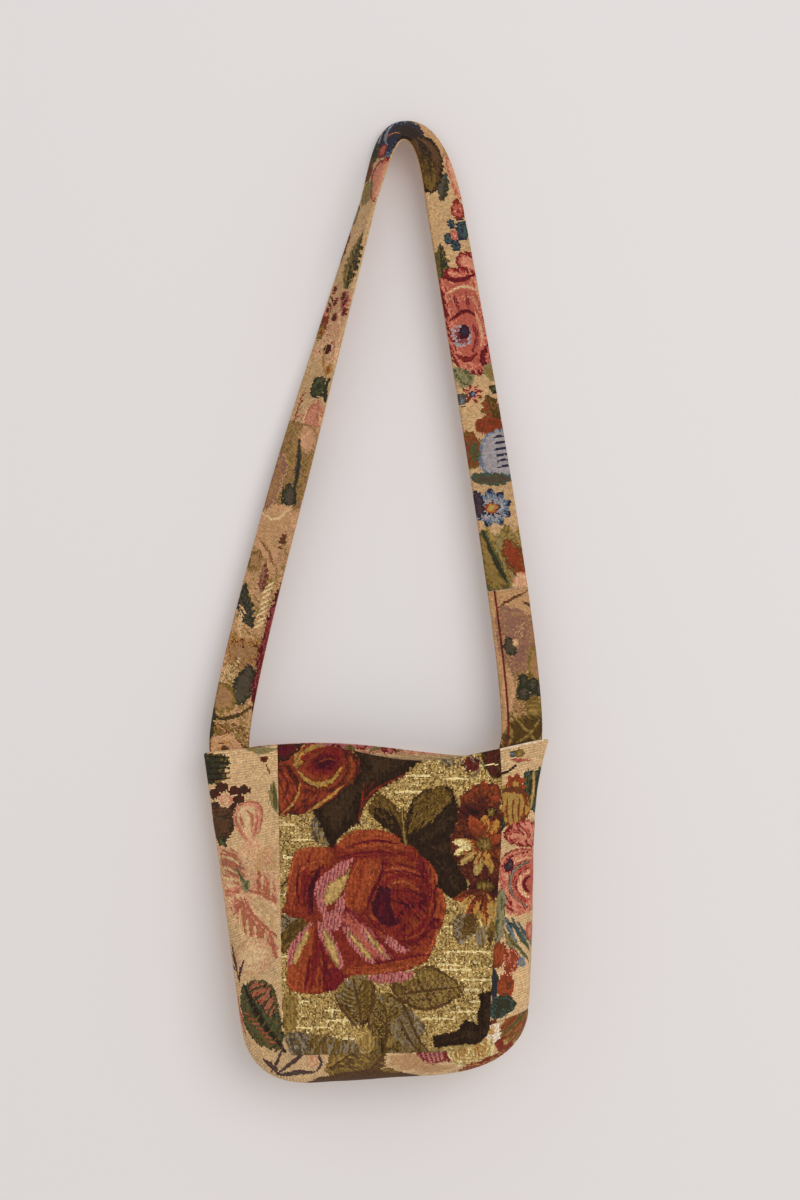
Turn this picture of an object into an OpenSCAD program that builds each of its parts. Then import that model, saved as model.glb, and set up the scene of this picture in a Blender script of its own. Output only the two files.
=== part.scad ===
// Tapestry pouch bag on a long patchwork shoulder strap, hanging from a peg.
// The origin is the point under the strap's crown that the peg carries.
// +Z is up, +X is to the right of the front panel and +Y is to the back.

/* [Panels] */
// Width of the front and back panels at the mouth, seam to seam
panel_top_w = 190; // [150:1:240]
// Width of the front and back panels at the foot, seam to seam
panel_foot_w = 173; // [130:1:220]
// Height of the panels, from the mouth to the foot seam
panel_h = 250; // [190:1:310]
// How far the panels' foot hangs to the left of the mouth's middle
foot_swing = 2; // [0:0.5:10]
// How much higher the right end of the foot seam lies
foot_tilt = 5; // [0:0.5:12]
// Reach of the rounded left foot corner along the foot
panel_left_corner = 9; // [4:1:30]
// Rise of the rounded left foot corner up the side
panel_left_rise = 50; // [10:1:70]
// Reach of the rounded right foot corner along the foot
panel_right_corner = 40; // [10:1:60]
// Rise of the rounded right foot corner up the side
panel_right_rise = 20; // [10:1:40]
// Forward bow of the front panel
panel_bow = 7; // [0:0.5:14]
// Outward bow of the front panel's right seam
right_seam_bow = 4; // [0:0.5:8]
// Rise and fall of the front mouth edge
mouth_wave = 7; // [0:0.5:10]
// How far the back panel's mouth lies to the left of the front panel's
back_skew = 24; // [0:1:36]
// Rise and fall of the back mouth edge
back_mouth_wave = 6; // [0:0.5:10]

/* [Gusset] */
// Distance between the front and back panels at the mouth
mouth_depth = 38; // [32:1:60]
// Distance between the front and back panels at the foot
foot_depth = 80; // [60:1:110]
// Gusset cloth that shows between the front panel and the left strap end
left_turn = 29; // [10:1:50]
// Gusset cloth that shows between the front panel and the right strap end
right_turn = 7; // [7:1:40]
// How far the gusset stands out past the left foot of the panels
left_foot_spread = 30; // [20:1:50]
// How far the gusset stands out past the right foot of the panels
right_foot_spread = 31; // [20:1:50]
// How far the gusset hangs below the left end of the foot seam
left_foot_drop = 32; // [15:1:45]
// How far the gusset hangs below the right end of the foot seam
right_foot_drop = 22; // [15:1:45]
// Reach of the gusset's round left foot corner
left_round = 54; // [30:1:70]
// Reach of the gusset's round right foot corner along the foot
right_round = 80; // [40:1:90]
// Rise of the gusset's round right foot corner up the side
right_round_rise = 52; // [30:1:80]
// Inward waist of the gusset's right side
right_waist = 7; // [0:0.5:12]
// How far the left mouth corner hangs below the mouth
left_corner_drop = 1; // [0:0.5:10]
// How far the strap lifts the right mouth corner above the mouth
right_corner_lift = 12; // [0:0.5:16]
// Spare room behind a strap end in the gusset's outer fold
fold_slack = 2; // [1:0.5:8]
// Width of the gusset's outer fold at the foot
fold_foot_w = 34; // [20:1:44]

/* [Cloth] */
// Thickness of the tapestry cloth
cloth_t = 1.2; // [0.8:0.1:1.6]
// Height of the turned-in hem round the mouth
hem_h = 14; // [8:1:24]
// Gap at each sewn seam
seam_gap = 0.25; // [0.1:0.05:0.5]
// Gap between a strap end and the cloth that wraps it
seat_gap = 0.8; // [0.6:0.05:1]

/* [Strap] */
// Width of the strap
strap_w = 35; // [25:1:45]
// Thickness of the folded strap
strap_t = 3.6; // [2.5:0.1:4]
// Width of the folded-over inner edge of the strap
edge_fold_w = 5; // [3:0.5:10]
// Thickness of the folded-over inner edge above the strap's face
edge_fold_t = 0.7; // [0.3:0.1:1]
// Height of the peg above the mouth
strap_drop = 531; // [350:1:700]
// How far the panels' middle hangs to the left of the peg
hang_offset = 14; // [0:1:40]
// Length of each strap end that is sewn inside the gusset
strap_tuck = 26; // [15:1:40]
// Length of the lower left strap piece above the mouth
left_piece = 288; // [120:1:330]
// Length of the lower right strap piece above the mouth
right_piece = 134; // [80:1:300]
// How far the left shoulder of the arch stands from the peg
shoulder_left = 31; // [24:1:44]
// How far the right shoulder of the arch stands from the peg
shoulder_right = 33; // [24:1:44]
// Drop of the shoulders below the peg
shoulder_drop = 57; // [45:1:80]
// Lean of the strap at the left shoulder, in degrees
lean_left = 16; // [5:1:25]
// Lean of the strap at the right shoulder, in degrees
lean_right = 10; // [5:1:25]
// Roll of the strap half way up the left leg, in degrees from facing front
roll_left = 30; // [0:1:45]
// Roll of the strap three quarters of the way up the left leg
roll_left_upper = 51; // [0:1:70]
// Roll of the strap at the left shoulder
roll_left_shoulder = 69; // [40:1:75]
// Roll of the strap over the peg
roll_crown = 56; // [40:1:80]
// Roll of the strap at the right shoulder
roll_right_shoulder = 27; // [5:1:60]
// Roll of the strap half way up the right leg
roll_right = 7; // [0:1:45]

/* [Hidden] */

// Counts of rows and columns in the cloth
side_n = 10;
arc_n = 5;
foot_n = 14;
leg_n = 4;
bend_n = 3;
// Share of the hem's height over which it steps down to one layer of cloth
hem_step = 0.06;
// Place of a mouth edge's crest and its wave length, as shares of the mouth's width
front_crest_at = 0.1;
front_crest_length = 1.1;
back_crest_at = 0.3;
back_crest_length = 1.6;
// Share of a wall's thickness by which two panels are mitred at their seam
mitre = 0.5;
// Share of the fold's width that each of its two edges is rounded by
fold_round = 0.45;
// Place of the outer fold from the back panel to the front panel, as a share of the depth
fold_place_left = 0.55;
fold_place_right = 0.74;
fold_place_foot = 0.5;
// Distance along the strap between its rings, and between the points of its route
ring_step = 7;
crown_n = 12;
strap_leg_n = 30;
// Length of the route's handles at the mouth, at the shoulders and over the peg
mouth_handle = 40;
leg_handle = 170;
shoulder_handle = 40;
crown_handle = 16;
// Chamfer along the strap's edges
strap_edge = 1;

back_y = mouth_depth / 2;
mouth_z = -strap_drop;
hem_t = 2 * cloth_t;
seat_edge = hem_t + seat_gap + strap_edge;
fold_mouth_w = 2 * (hem_t + seat_gap) + strap_t + edge_fold_t + fold_slack;
left_spread = left_turn + strap_w;
right_spread = right_turn + strap_w;

function mix(a, b, t) = a + (b - a) * t;
function unit(v) = v / norm(v);
function curve(a, b, c, t) = mix(mix(a, b, t), mix(b, c, t), t);
function curve3(a, b, c, d, t) = mix(curve(a, b, c, t), curve(b, c, d, t), t);
function clamp(x, low, high) = min(max(x, low), high);
function spot(p, y) = [p.x, y, p.y];

// Height of a mouth edge above the mouth, across its panel
front_wave = [mouth_wave, front_crest_at, front_crest_length];
back_wave = [back_mouth_wave, back_crest_at, back_crest_length];
function crest(wave, u) = wave[0] * cos(360 * (u - wave[1]) / wave[2]);

// Outlines in the front view, as [x, z]: corners run top left, foot left, foot right, top right
panel_top = [-hang_offset - panel_top_w / 2, -hang_offset + panel_top_w / 2];
foot_middle = -hang_offset - foot_swing;
panel_foot = [foot_middle - panel_foot_w / 2, foot_middle + panel_foot_w / 2];
foot_left_z = mouth_z - panel_h - foot_tilt / 2;
foot_right_z = mouth_z - panel_h + foot_tilt / 2;
front_corners = [
    [panel_top[0], mouth_z + crest(front_wave, 0)],
    [panel_foot[0], foot_left_z],
    [panel_foot[1], foot_right_z],
    [panel_top[1], mouth_z + crest(front_wave, 1)]
];
back_corners = [
    [panel_top[0] - back_skew, mouth_z + crest(back_wave, 0)],
    [panel_foot[0], foot_left_z],
    [panel_foot[1], foot_right_z],
    [panel_top[1] - back_skew, mouth_z + crest(back_wave, 1)]
];
rim_corners = [
    [panel_top[0] - left_spread, mouth_z - left_corner_drop],
    [panel_foot[0] - left_foot_spread, foot_left_z - left_foot_drop],
    [panel_foot[1] + right_foot_spread, foot_right_z - right_foot_drop],
    [panel_top[1] + right_spread, mouth_z + right_corner_lift]
];
panel_reach = [[panel_left_rise, panel_left_corner], [panel_right_rise, panel_right_corner]];
rim_reach = [[left_round, left_round], [right_round_rise, right_round]];

// Rows down a side, as shares of it: the hem, the step under it and even rows below
hem_share = hem_h / (panel_h - panel_left_rise);
under_hem = hem_share * (1 + hem_step);
side_rows = concat([0, hem_share], [for (k = [0:side_n]) mix(under_hem, 1, k / side_n)]);
row_n = len(side_rows) + arc_n;
station_n = 2 * row_n + foot_n - 1;

// A side swells most a third of the way down
function swell(f) = sin(180 * pow(1 - f, 2));
function side_point(corners, reach, bow, right, f) =
    let (top = corners[right ? 3 : 0], foot = corners[right ? 2 : 1],
        low = foot + unit(top - foot) * reach[right ? 1 : 0][0])
    mix(top, low, f) + [(right ? 1 : -1) * bow[right ? 1 : 0] * swell(f), 0];
function side_line(corners, reach, bow, right) =
    let (foot = corners[right ? 2 : 1], other = corners[right ? 1 : 2],
        low = side_point(corners, reach, bow, right, 1),
        end = foot + unit(other - foot) * reach[right ? 1 : 0][1])
    concat([for (f = side_rows) side_point(corners, reach, bow, right, f)],
        [for (k = [1:arc_n]) curve(low, foot, end, k / arc_n)]);
// A U-shaped outline: down the left side, along the foot and up the right side
function outline(corners, reach, bow) =
    let (left = side_line(corners, reach, bow, false), right = side_line(corners, reach, bow, true))
    concat(left,
        [for (k = [1:foot_n - 1]) mix(left[row_n - 1], right[row_n - 1], k / foot_n)],
        [for (k = [row_n - 1:-1:0]) right[k]]);

panel_bows = [0, right_seam_bow];
rim_bows = [0, -right_waist];
front_outline = outline(front_corners, panel_reach, panel_bows);
back_outline = outline(back_corners, panel_reach, panel_bows);
rim_outline = outline(rim_corners, rim_reach, rim_bows);

// Depth of the pouch at a height, and how far down a side a station of the outline lies
function depth_at(z) = mix(mouth_depth, foot_depth, clamp((mouth_z - z) / panel_h, 0, 1));
function row_of(i) = i < row_n ? i : i >= station_n - row_n ? station_n - 1 - i : row_n - 1;
function way_down(i) = row_of(i) < len(side_rows) ? side_rows[row_of(i)] : 1;
function wall_at(i) = row_of(i) < 2 ? hem_t : cloth_t;

// The front seam, the back seam and the two edges of the outer fold, in space
function front_spot(p) = spot(p, back_y - depth_at(p.y));
function fold_y(z, right, f) =
    back_y - depth_at(z) * mix(right ? fold_place_right : fold_place_left, fold_place_foot, f);
function fold_w(f) = mix(fold_mouth_w, fold_foot_w, f);
function fold_spot(p, z, right, f, edge) = spot(p, fold_y(z, right, f) + edge * fold_w(f) / 2);
front_seam = [for (p = front_outline) front_spot(p)];
back_seam = [for (p = back_outline) spot(p, back_y)];
function fold_edge(i, edge) =
    fold_spot(rim_outline[i], front_outline[i].y, i > station_n / 2, way_down(i), edge);

// Outward direction of an outline at a station, in the front view
function outward(line, i) =
    let (t = unit(line[min(i + 1, station_n - 1)] - line[max(i - 1, 0)])) [t.y, -t.x];
// Inner edge of a seam, where both walls end on one mitre
function seam_inside(line, seam, i, way) =
    let (o = outward(line, i) * mitre * wall_at(i)) seam[i] + [-o.x, way * wall_at(i), -o.y];
function inset(points, line) =
    [for (i = [0:station_n - 1]) let (o = outward(line, i) * seam_gap) points[i] - [o.x, 0, o.y]];

// A cloth wall between an outer and an inner grid of points
module cloth(outer, inner) {
    rows = len(outer);
    cols = len(outer[0]);
    half = rows * cols;
    function at(i, j) = i * cols + j;
    function quad(a, b, c, d) = [[a, b, c], [a, c, d]];
    skin = [for (i = [0:rows - 2], j = [0:cols - 2])
        each quad(at(i, j), at(i, j + 1), at(i + 1, j + 1), at(i + 1, j))];
    lining = [for (f = skin) [f[2], f[1], f[0]] + [half, half, half]];
    sides = [for (i = [0:rows - 2]) each concat(
        quad(at(i + 1, 0), at(i + 1, 0) + half, at(i, 0) + half, at(i, 0)),
        quad(at(i, cols - 1), at(i, cols - 1) + half, at(i + 1, cols - 1) + half, at(i + 1, cols - 1)))];
    ends = [for (j = [0:cols - 2]) each concat(
        quad(at(0, j), at(0, j) + half, at(0, j + 1) + half, at(0, j + 1)),
        quad(at(rows - 1, j + 1), at(rows - 1, j + 1) + half, at(rows - 1, j) + half, at(rows - 1, j)))];
    polyhedron([for (row = concat(outer, inner)) each row], concat(skin, lining, sides, ends));
}

// A panel between its left and right seams: way is +1 where the inside lies towards +Y
function panel_row(edge, k, bow, wave) =
    let (a = edge[k], b = edge[station_n - 1 - k], f = way_down(k))
    [for (c = [0:foot_n]) let (u = c / foot_n)
        mix(a, b, u) + [0, bow * sin(180 * u) * (1 - f * f),
            (crest(wave, u) - mix(crest(wave, 0), crest(wave, 1), u)) * pow(1 - f, 2)]];
module panel(line, seam, way, bow, wave) {
    edge = inset(seam, line);
    inner_edge = inset([for (i = [0:station_n - 1]) seam_inside(line, seam, i, way)], line);
    outer = [for (k = [0:row_n - 1]) panel_row(edge, k, bow, wave)];
    inner = [for (k = [0:row_n - 1]) panel_row(inner_edge, k, bow, wave)];
    if (way > 0) cloth(outer, inner);
    else cloth(inner, outer);
}

// The gusset across a station: front leg, the two rounded edges of the fold, back leg
function strip(i) =
    let (s = front_seam[i], t = back_seam[i], a = fold_edge(i, -1), b = fold_edge(i, 1),
        r = fold_round * norm(b - a),
        a0 = a + unit(s - a) * r, a1 = a + unit(b - a) * r,
        b0 = b + unit(a - b) * r, b1 = b + unit(t - b) * r)
    concat([for (k = [0:leg_n - 1]) mix(s, a0, k / leg_n)],
        [for (k = [0:bend_n]) curve(a0, a, a1, k / bend_n)],
        [for (k = [0:bend_n]) curve(b0, b, b1, k / bend_n)],
        [for (k = [1:leg_n]) mix(b1, t, k / leg_n)]);
strips = [for (i = [0:station_n - 1]) strip(i)];
strip_n = len(strips[0]);
// Outward normal of the gusset, level in the hem so that the mouth edge stays even
function strip_normal(i, j) =
    let (along = strips[min(i + 1, station_n - 1)][j] - strips[max(i - 1, 0)][j],
        across = strips[i][min(j + 1, strip_n - 1)] - strips[i][max(j - 1, 0)],
        n = unit(cross(across, along)))
    row_of(i) < 3 ? unit([n.x, n.y, 0]) : n;
function strip_inside(i) = [for (j = [0:strip_n - 1])
    j == 0 ? seam_inside(front_outline, front_seam, i, 1)
    : j == strip_n - 1 ? seam_inside(back_outline, back_seam, i, -1)
    : strips[i][j] - strip_normal(i, j) * wall_at(i)];
// Stations of the gusset from first to last, the last end drawn back by a gap
module gusset(first, last, gap) {
    function drawn(rows, i) = i == last && gap > 0
        ? [for (j = [0:strip_n - 1]) let (v = rows[0][j] - rows[1][j]) rows[1][j] + unit(v) * gap]
        : rows[1];
    outer = [for (i = [first:last]) drawn([strips[max(i - 1, 0)], strips[i]], i)];
    inner = [for (i = [first:last]) drawn([strip_inside(max(i - 1, 0)), strip_inside(i)], i)];
    cloth(inner, outer);
}
// The gusset's own seam lies where the right side meets the round foot corner
gusset_seam = station_n - len(side_rows);

// Seat of a strap end on the inside of the gusset's front leg
function seat_leg(right, f) =
    let (p = side_point(front_corners, panel_reach, panel_bows, right, f),
        q = side_point(rim_corners, rim_reach, rim_bows, right, f))
    [front_spot(p), fold_spot(q, p.y, right, f, -1)];
tuck_share = strap_tuck / (panel_h - panel_left_rise);
function seat_across(right, f) = let (leg = seat_leg(right, f)) unit(leg[1] - leg[0]);
// The leg meets the fold at a slant, so the strap's own width takes up more of it
function seat_slant(right) =
    norm(cross(seat_across(right, 0), unit(seat_leg(right, tuck_share)[1] - seat_leg(right, 0)[1])));
function seat_on_leg(right, f) =
    seat_leg(right, f)[1] - seat_across(right, f) * (seat_edge + strap_w / 2) / seat_slant(right);
function seat_down(right) = unit(seat_on_leg(right, tuck_share) - seat_on_leg(right, 0));
function seat_inward(right) =
    unit(cross(seat_down(right), seat_across(right, tuck_share / 2))) * (right ? -1 : 1);
function seat(right) = seat_on_leg(right, 0)
    + seat_inward(right) * (hem_t + seat_gap + edge_fold_t + strap_t / 2);

// Route of the strap's middle line: left tuck, left leg, arch over the peg, right leg, right tuck
crown_spot = [0, 0, strap_t / 2 / sin(roll_crown)];
left_shoulder = [-shoulder_left, 0, -shoulder_drop];
right_shoulder = [shoulder_right, 0, -shoulder_drop];
left_way = [sin(lean_left), 0, cos(lean_left)];
right_way = [-sin(lean_right), 0, cos(lean_right)];
function leg_route(right) =
    let (a = seat(right), d = right ? right_shoulder : left_shoulder,
        b = a - seat_down(right) * mouth_handle, c = d - (right ? right_way : left_way) * leg_handle)
    [for (k = [0:strap_leg_n]) curve3(a, b, c, d, k / strap_leg_n)];
function arch_route(right) =
    let (a = right ? right_shoulder : left_shoulder,
        b = a + (right ? right_way : left_way) * shoulder_handle,
        c = crown_spot + [right ? crown_handle : -crown_handle, 0, 0])
    [for (k = [1:crown_n]) curve3(a, b, c, crown_spot, k / crown_n)];
function backwards(list, first) = [for (k = [len(list) - first:-1:0]) list[k]];
route = concat([seat(false) + seat_down(false) * strap_tuck], leg_route(false), arch_route(false),
    backwards(arch_route(true), 2), backwards(leg_route(true), 1),
    [seat(true) + seat_down(true) * strap_tuck]);
function running(list, k, total) =
    k == len(list) ? [] : let (t = total + (k == 0 ? 0 : norm(list[k] - list[k - 1])))
        concat([t], running(list, k + 1, t));
route_at = running(route, 0, 0);
strap_length = route_at[len(route) - 1];
function route_axis(axis) = [for (k = [0:len(route) - 1]) [route_at[k], route[k][axis]]];
route_x = route_axis(0);
route_y = route_axis(1);
route_z = route_axis(2);
function on_route(s) = [lookup(s, route_x), lookup(s, route_y), lookup(s, route_z)];

// Direction of the strap, the direction across it to its outer edge, and its roll
function strap_way(s) =
    unit(on_route(min(s + ring_step / 2, strap_length)) - on_route(max(s - ring_step / 2, 0)));
function level_out(t) = unit([-t.z, 0, t.x]);
function level_back(t) = unit([0, 1, 0] - t * t.y);
function seat_roll(right, f) =
    let (w = seat_across(right, f), t = seat_down(right) * (right ? 1 : -1))
    atan2(w * level_back(t), w * level_out(t));
crown_at = route_at[1 + strap_leg_n + crown_n];
left_shoulder_at = route_at[1 + strap_leg_n];
right_shoulder_at = route_at[1 + strap_leg_n + 2 * crown_n];
right_mouth_at = strap_length - strap_tuck;
roll_plan = [
    [0, seat_roll(false, tuck_share)],
    [strap_tuck, seat_roll(false, 0)],
    [mix(strap_tuck, left_shoulder_at, 0.5), roll_left],
    [mix(strap_tuck, left_shoulder_at, 0.75), roll_left_upper],
    [left_shoulder_at, roll_left_shoulder],
    [crown_at, roll_crown],
    [right_shoulder_at, roll_right_shoulder],
    [mix(right_shoulder_at, right_mouth_at, 0.5), roll_right],
    [right_mouth_at, seat_roll(true, 0)],
    [strap_length, seat_roll(true, tuck_share)]
];
function strap_across(s) =
    let (t = strap_way(s), r = lookup(s, roll_plan)) level_out(t) * cos(r) + level_back(t) * sin(r);

// Section of the strap: across it from the inner edge, and up from its middle to its front face
strap_section = let (w = strap_w / 2, h = strap_t / 2, e = strap_edge, f = edge_fold_w) [
    [e - w, -h], [w - e, -h], [w, e - h], [w, h - e], [w - e, h], [f - w + edge_fold_t, h],
    [f - w, h + edge_fold_t], [e - w, h + edge_fold_t], [-w, h + edge_fold_t - e], [-w, e - h]
];
function strap_ring(s) =
    let (c = on_route(s), w = strap_across(s), n = cross(strap_way(s), w))
    [for (p = strap_section) c + w * p.x + n * p.y];
// A length of the strap from one place to another along it
module strap_piece(from, to) {
    ring_n = ceil((to - from) / ring_step);
    rings = [for (k = [0:ring_n]) strap_ring(mix(from, to, k / ring_n))];
    m = len(strap_section);
    sides = [for (k = [0:ring_n - 1], j = [0:m - 1]) let (a = k * m + j, b = k * m + (j + 1) % m)
        each [[a, b + m, b], [a, a + m, b + m]]];
    first = [for (j = [0:m - 1]) j];
    last = [for (j = [m - 1:-1:0]) ring_n * m + j];
    polyhedron([for (r = rings) each r], concat([first, last], sides));
}
left_join = strap_tuck + left_piece;
right_join = right_mouth_at - right_piece;

module front_panel() {
    color([0.55, 0.27, 0.14]) panel(front_outline, front_seam, 1, -panel_bow, front_wave);
}
module back_panel() {
    color([0.78, 0.64, 0.47]) panel(back_outline, back_seam, -1, 0, back_wave);
}
module main_gusset() {
    color([0.80, 0.66, 0.48]) gusset(0, gusset_seam, seam_gap);
}
module right_gusset() {
    color([0.82, 0.68, 0.52]) gusset(gusset_seam, station_n - 1, 0);
}
module strap_left() {
    color([0.62, 0.46, 0.28]) strap_piece(0, left_join - seam_gap);
}
module strap_middle() {
    color([0.74, 0.58, 0.42]) strap_piece(left_join, right_join);
}
module strap_right() {
    color([0.60, 0.45, 0.30]) strap_piece(right_join + seam_gap, strap_length);
}

front_panel();
back_panel();
main_gusset();
right_gusset();
strap_left();
strap_middle();
strap_right();
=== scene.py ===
import math

import bmesh
import bpy
import numpy as np
from mathutils import Matrix, Vector


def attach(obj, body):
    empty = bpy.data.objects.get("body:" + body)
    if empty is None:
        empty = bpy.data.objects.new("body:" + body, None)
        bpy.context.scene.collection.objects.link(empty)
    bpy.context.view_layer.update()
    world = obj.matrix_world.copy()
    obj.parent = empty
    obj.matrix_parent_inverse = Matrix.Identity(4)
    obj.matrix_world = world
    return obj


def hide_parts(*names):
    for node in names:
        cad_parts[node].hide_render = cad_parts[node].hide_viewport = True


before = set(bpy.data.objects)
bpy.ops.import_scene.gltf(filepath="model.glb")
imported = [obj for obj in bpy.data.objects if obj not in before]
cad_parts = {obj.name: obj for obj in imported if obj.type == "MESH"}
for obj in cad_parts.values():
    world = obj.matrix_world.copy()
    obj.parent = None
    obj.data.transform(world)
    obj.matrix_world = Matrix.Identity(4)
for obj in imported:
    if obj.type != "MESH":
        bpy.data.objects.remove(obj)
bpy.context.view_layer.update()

MM = 0.001

# Sizes of the pouch in millimetres, as in the part's source
panel_top_w = 190
panel_foot_w = 173
panel_h = 250
foot_swing = 2
foot_tilt = 5
panel_reach = ((50, 9), (20, 40))
panel_bow = 7
panel_bows = (0, 4)
back_skew = 24
front_wave = (7, 0.1, 1.1)
back_wave = (6, 0.3, 1.6)
mouth_depth = 38
foot_depth = 80
left_turn = 29
right_turn = 7
left_foot_spread = 30
right_foot_spread = 31
left_foot_drop = 32
right_foot_drop = 22
rim_reach = ((54, 54), (52, 80))
rim_bows = (0, -7)
left_corner_drop = 1
right_corner_lift = 12
fold_slack = 2
fold_foot_w = 34
fold_round = 0.45
fold_places = (0.55, 0.74)
fold_place_foot = 0.5
cloth_t = 1.2
hem_h = 14
seat_gap = 0.8
seam_gap = 0.25

# Sizes of the strap
strap_w = 35
strap_t = 3.6
edge_fold_w = 5
edge_fold_t = 0.7
strap_drop = 531
hang_offset = 14
strap_tuck = 26
left_piece = 288
right_piece = 134
shoulders = (31, 33)
shoulder_drop = 57
leans = (16, 10)
roll_left = 30
roll_left_upper = 51
roll_left_shoulder = 69
roll_crown = 56
roll_right_shoulder = 27
roll_right = 7
mouth_handle = 40
leg_handle = 170
shoulder_handle = 40
crown_handle = 16
strap_edge = 1

back_y = mouth_depth / 2
mouth_z = -strap_drop
hem_t = 2 * cloth_t
fold_mouth_w = 2 * (hem_t + seat_gap) + strap_t + edge_fold_t + fold_slack
spreads = (left_turn + strap_w, right_turn + strap_w)


def mix(a, b, t):
    return a + (b - a) * t


def unit(v):
    return v / np.linalg.norm(v, axis=-1, keepdims=True)


def curve(a, b, c, t):
    return mix(mix(a, b, t), mix(b, c, t), t)


def curve3(a, b, c, d, t):
    return mix(curve(a, b, c, t), curve(b, c, d, t), t)


def crest(wave, u):
    return wave[0] * np.cos(2 * math.pi * (u - wave[1]) / wave[2])


# Smooth noise is read between the points of a square lattice, well away from its start
lattice_n = 64
lattice_start = 1000


def soft_noise(x, y, size, seed):
    """Smooth noise from 0 to 1 over a plane, with lumps of about the given size."""
    lattice = np.random.default_rng(seed).random((lattice_n, lattice_n))
    gx, gy = x / size + lattice_start, y / size + lattice_start
    ix, iy = np.floor(gx).astype(int), np.floor(gy).astype(int)
    fx, fy = gx - ix, gy - iy
    fx = fx * fx * (3 - 2 * fx)
    fy = fy * fy * (3 - 2 * fy)
    left, right = ix % lattice_n, (ix + 1) % lattice_n
    near, far = iy % lattice_n, (iy + 1) % lattice_n
    low = mix(lattice[left, near], lattice[right, near], fx)
    high = mix(lattice[left, far], lattice[right, far], fx)
    return mix(low, high, fy)


# Outlines in the front view, as x and z: corners run top left, foot left, foot right, top right
panel_top = (-hang_offset - panel_top_w / 2, -hang_offset + panel_top_w / 2)
foot_middle = -hang_offset - foot_swing
panel_foot = (foot_middle - panel_foot_w / 2, foot_middle + panel_foot_w / 2)
foot_z = (mouth_z - panel_h - foot_tilt / 2, mouth_z - panel_h + foot_tilt / 2)
front_corners = np.array([
    (panel_top[0], mouth_z + crest(front_wave, 0)),
    (panel_foot[0], foot_z[0]),
    (panel_foot[1], foot_z[1]),
    (panel_top[1], mouth_z + crest(front_wave, 1)),
])
back_corners = np.array([
    (panel_top[0] - back_skew, mouth_z + crest(back_wave, 0)),
    (panel_foot[0], foot_z[0]),
    (panel_foot[1], foot_z[1]),
    (panel_top[1] - back_skew, mouth_z + crest(back_wave, 1)),
])
rim_corners = np.array([
    (panel_top[0] - spreads[0], mouth_z - left_corner_drop),
    (panel_foot[0] - left_foot_spread, foot_z[0] - left_foot_drop),
    (panel_foot[1] + right_foot_spread, foot_z[1] - right_foot_drop),
    (panel_top[1] + spreads[1], mouth_z + right_corner_lift),
])

side_n = 240
arc_n = 80
foot_n = 200


def side_points(corners, reach, bows, right, f):
    top = corners[3 if right else 0]
    foot = corners[2 if right else 1]
    low = foot + unit(top - foot) * reach[right][0]
    points = mix(top, low, f[:, None])
    points[:, 0] += (1 if right else -1) * bows[right] * np.sin(math.pi * (1 - f) ** 2)
    return points


def side_line(corners, reach, bows, right):
    foot = corners[2 if right else 1]
    other = corners[1 if right else 2]
    side = side_points(corners, reach, bows, right, np.linspace(0, 1, side_n + 1))
    end = foot + unit(other - foot) * reach[right][1]
    arc = curve(side[-1], foot, end, np.linspace(0, 1, arc_n + 1)[1:, None])
    return np.concatenate([side, arc])


def outline(corners, reach, bows):
    """A U-shaped outline: down the left side, along the foot and up the right side."""
    left = side_line(corners, reach, bows, 0)
    right = side_line(corners, reach, bows, 1)
    foot = mix(left[-1], right[-1], np.linspace(0, 1, foot_n + 1)[1:-1, None])
    return np.concatenate([left, foot, right[::-1]])


row_n = side_n + arc_n + 1
front_outline = outline(front_corners, panel_reach, panel_bows)
back_outline = outline(back_corners, panel_reach, panel_bows)
rim_outline = outline(rim_corners, rim_reach, rim_bows)
station_n = len(front_outline)
side_down = np.concatenate([np.linspace(0, 1, side_n + 1), np.ones(arc_n)])
way_down = np.concatenate([side_down, np.ones(foot_n - 1), side_down[::-1]])


def depth_at(z):
    return mix(mouth_depth, foot_depth, np.clip((mouth_z - z) / panel_h, 0, 1))


def spots(points, y):
    return np.stack([points[:, 0], np.broadcast_to(y, len(points)), points[:, 1]], axis=1)


front_seam = spots(front_outline, back_y - depth_at(front_outline[:, 1]))
back_seam = spots(back_outline, back_y)
fold_place = np.where(np.arange(station_n) > station_n / 2, fold_places[1], fold_places[0])
fold_y = back_y - depth_at(front_outline[:, 1]) * mix(fold_place, fold_place_foot, way_down)
fold_w = mix(fold_mouth_w, fold_foot_w, way_down)
fold_front = spots(rim_outline, fold_y - fold_w / 2)
fold_back = spots(rim_outline, fold_y + fold_w / 2)


def lengths(points):
    """Running length along a line of points."""
    steps = np.linalg.norm(np.diff(points, axis=0), axis=1)
    return np.concatenate([[0], np.cumsum(steps)])


def placed(points, at, wanted):
    """Points of a line, or rows of a grid, at the wanted places along it."""
    place = np.interp(wanted, at, np.arange(len(at)))
    low = np.clip(np.floor(place).astype(int), 0, len(at) - 2)
    share = (place - low).reshape((-1,) + (1,) * (points.ndim - 1))
    return mix(points[low], points[low + 1], share)


def grid_normals(points):
    """Unit normals of a grid: across its columns, then down its rows, by the right hand."""
    return unit(np.cross(np.gradient(points, axis=1), np.gradient(points, axis=0)))


# A hem: the cloth turns over the mouth edge and runs down inside
hem_r = hem_t / 2
hem_turn_n = 5


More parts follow.
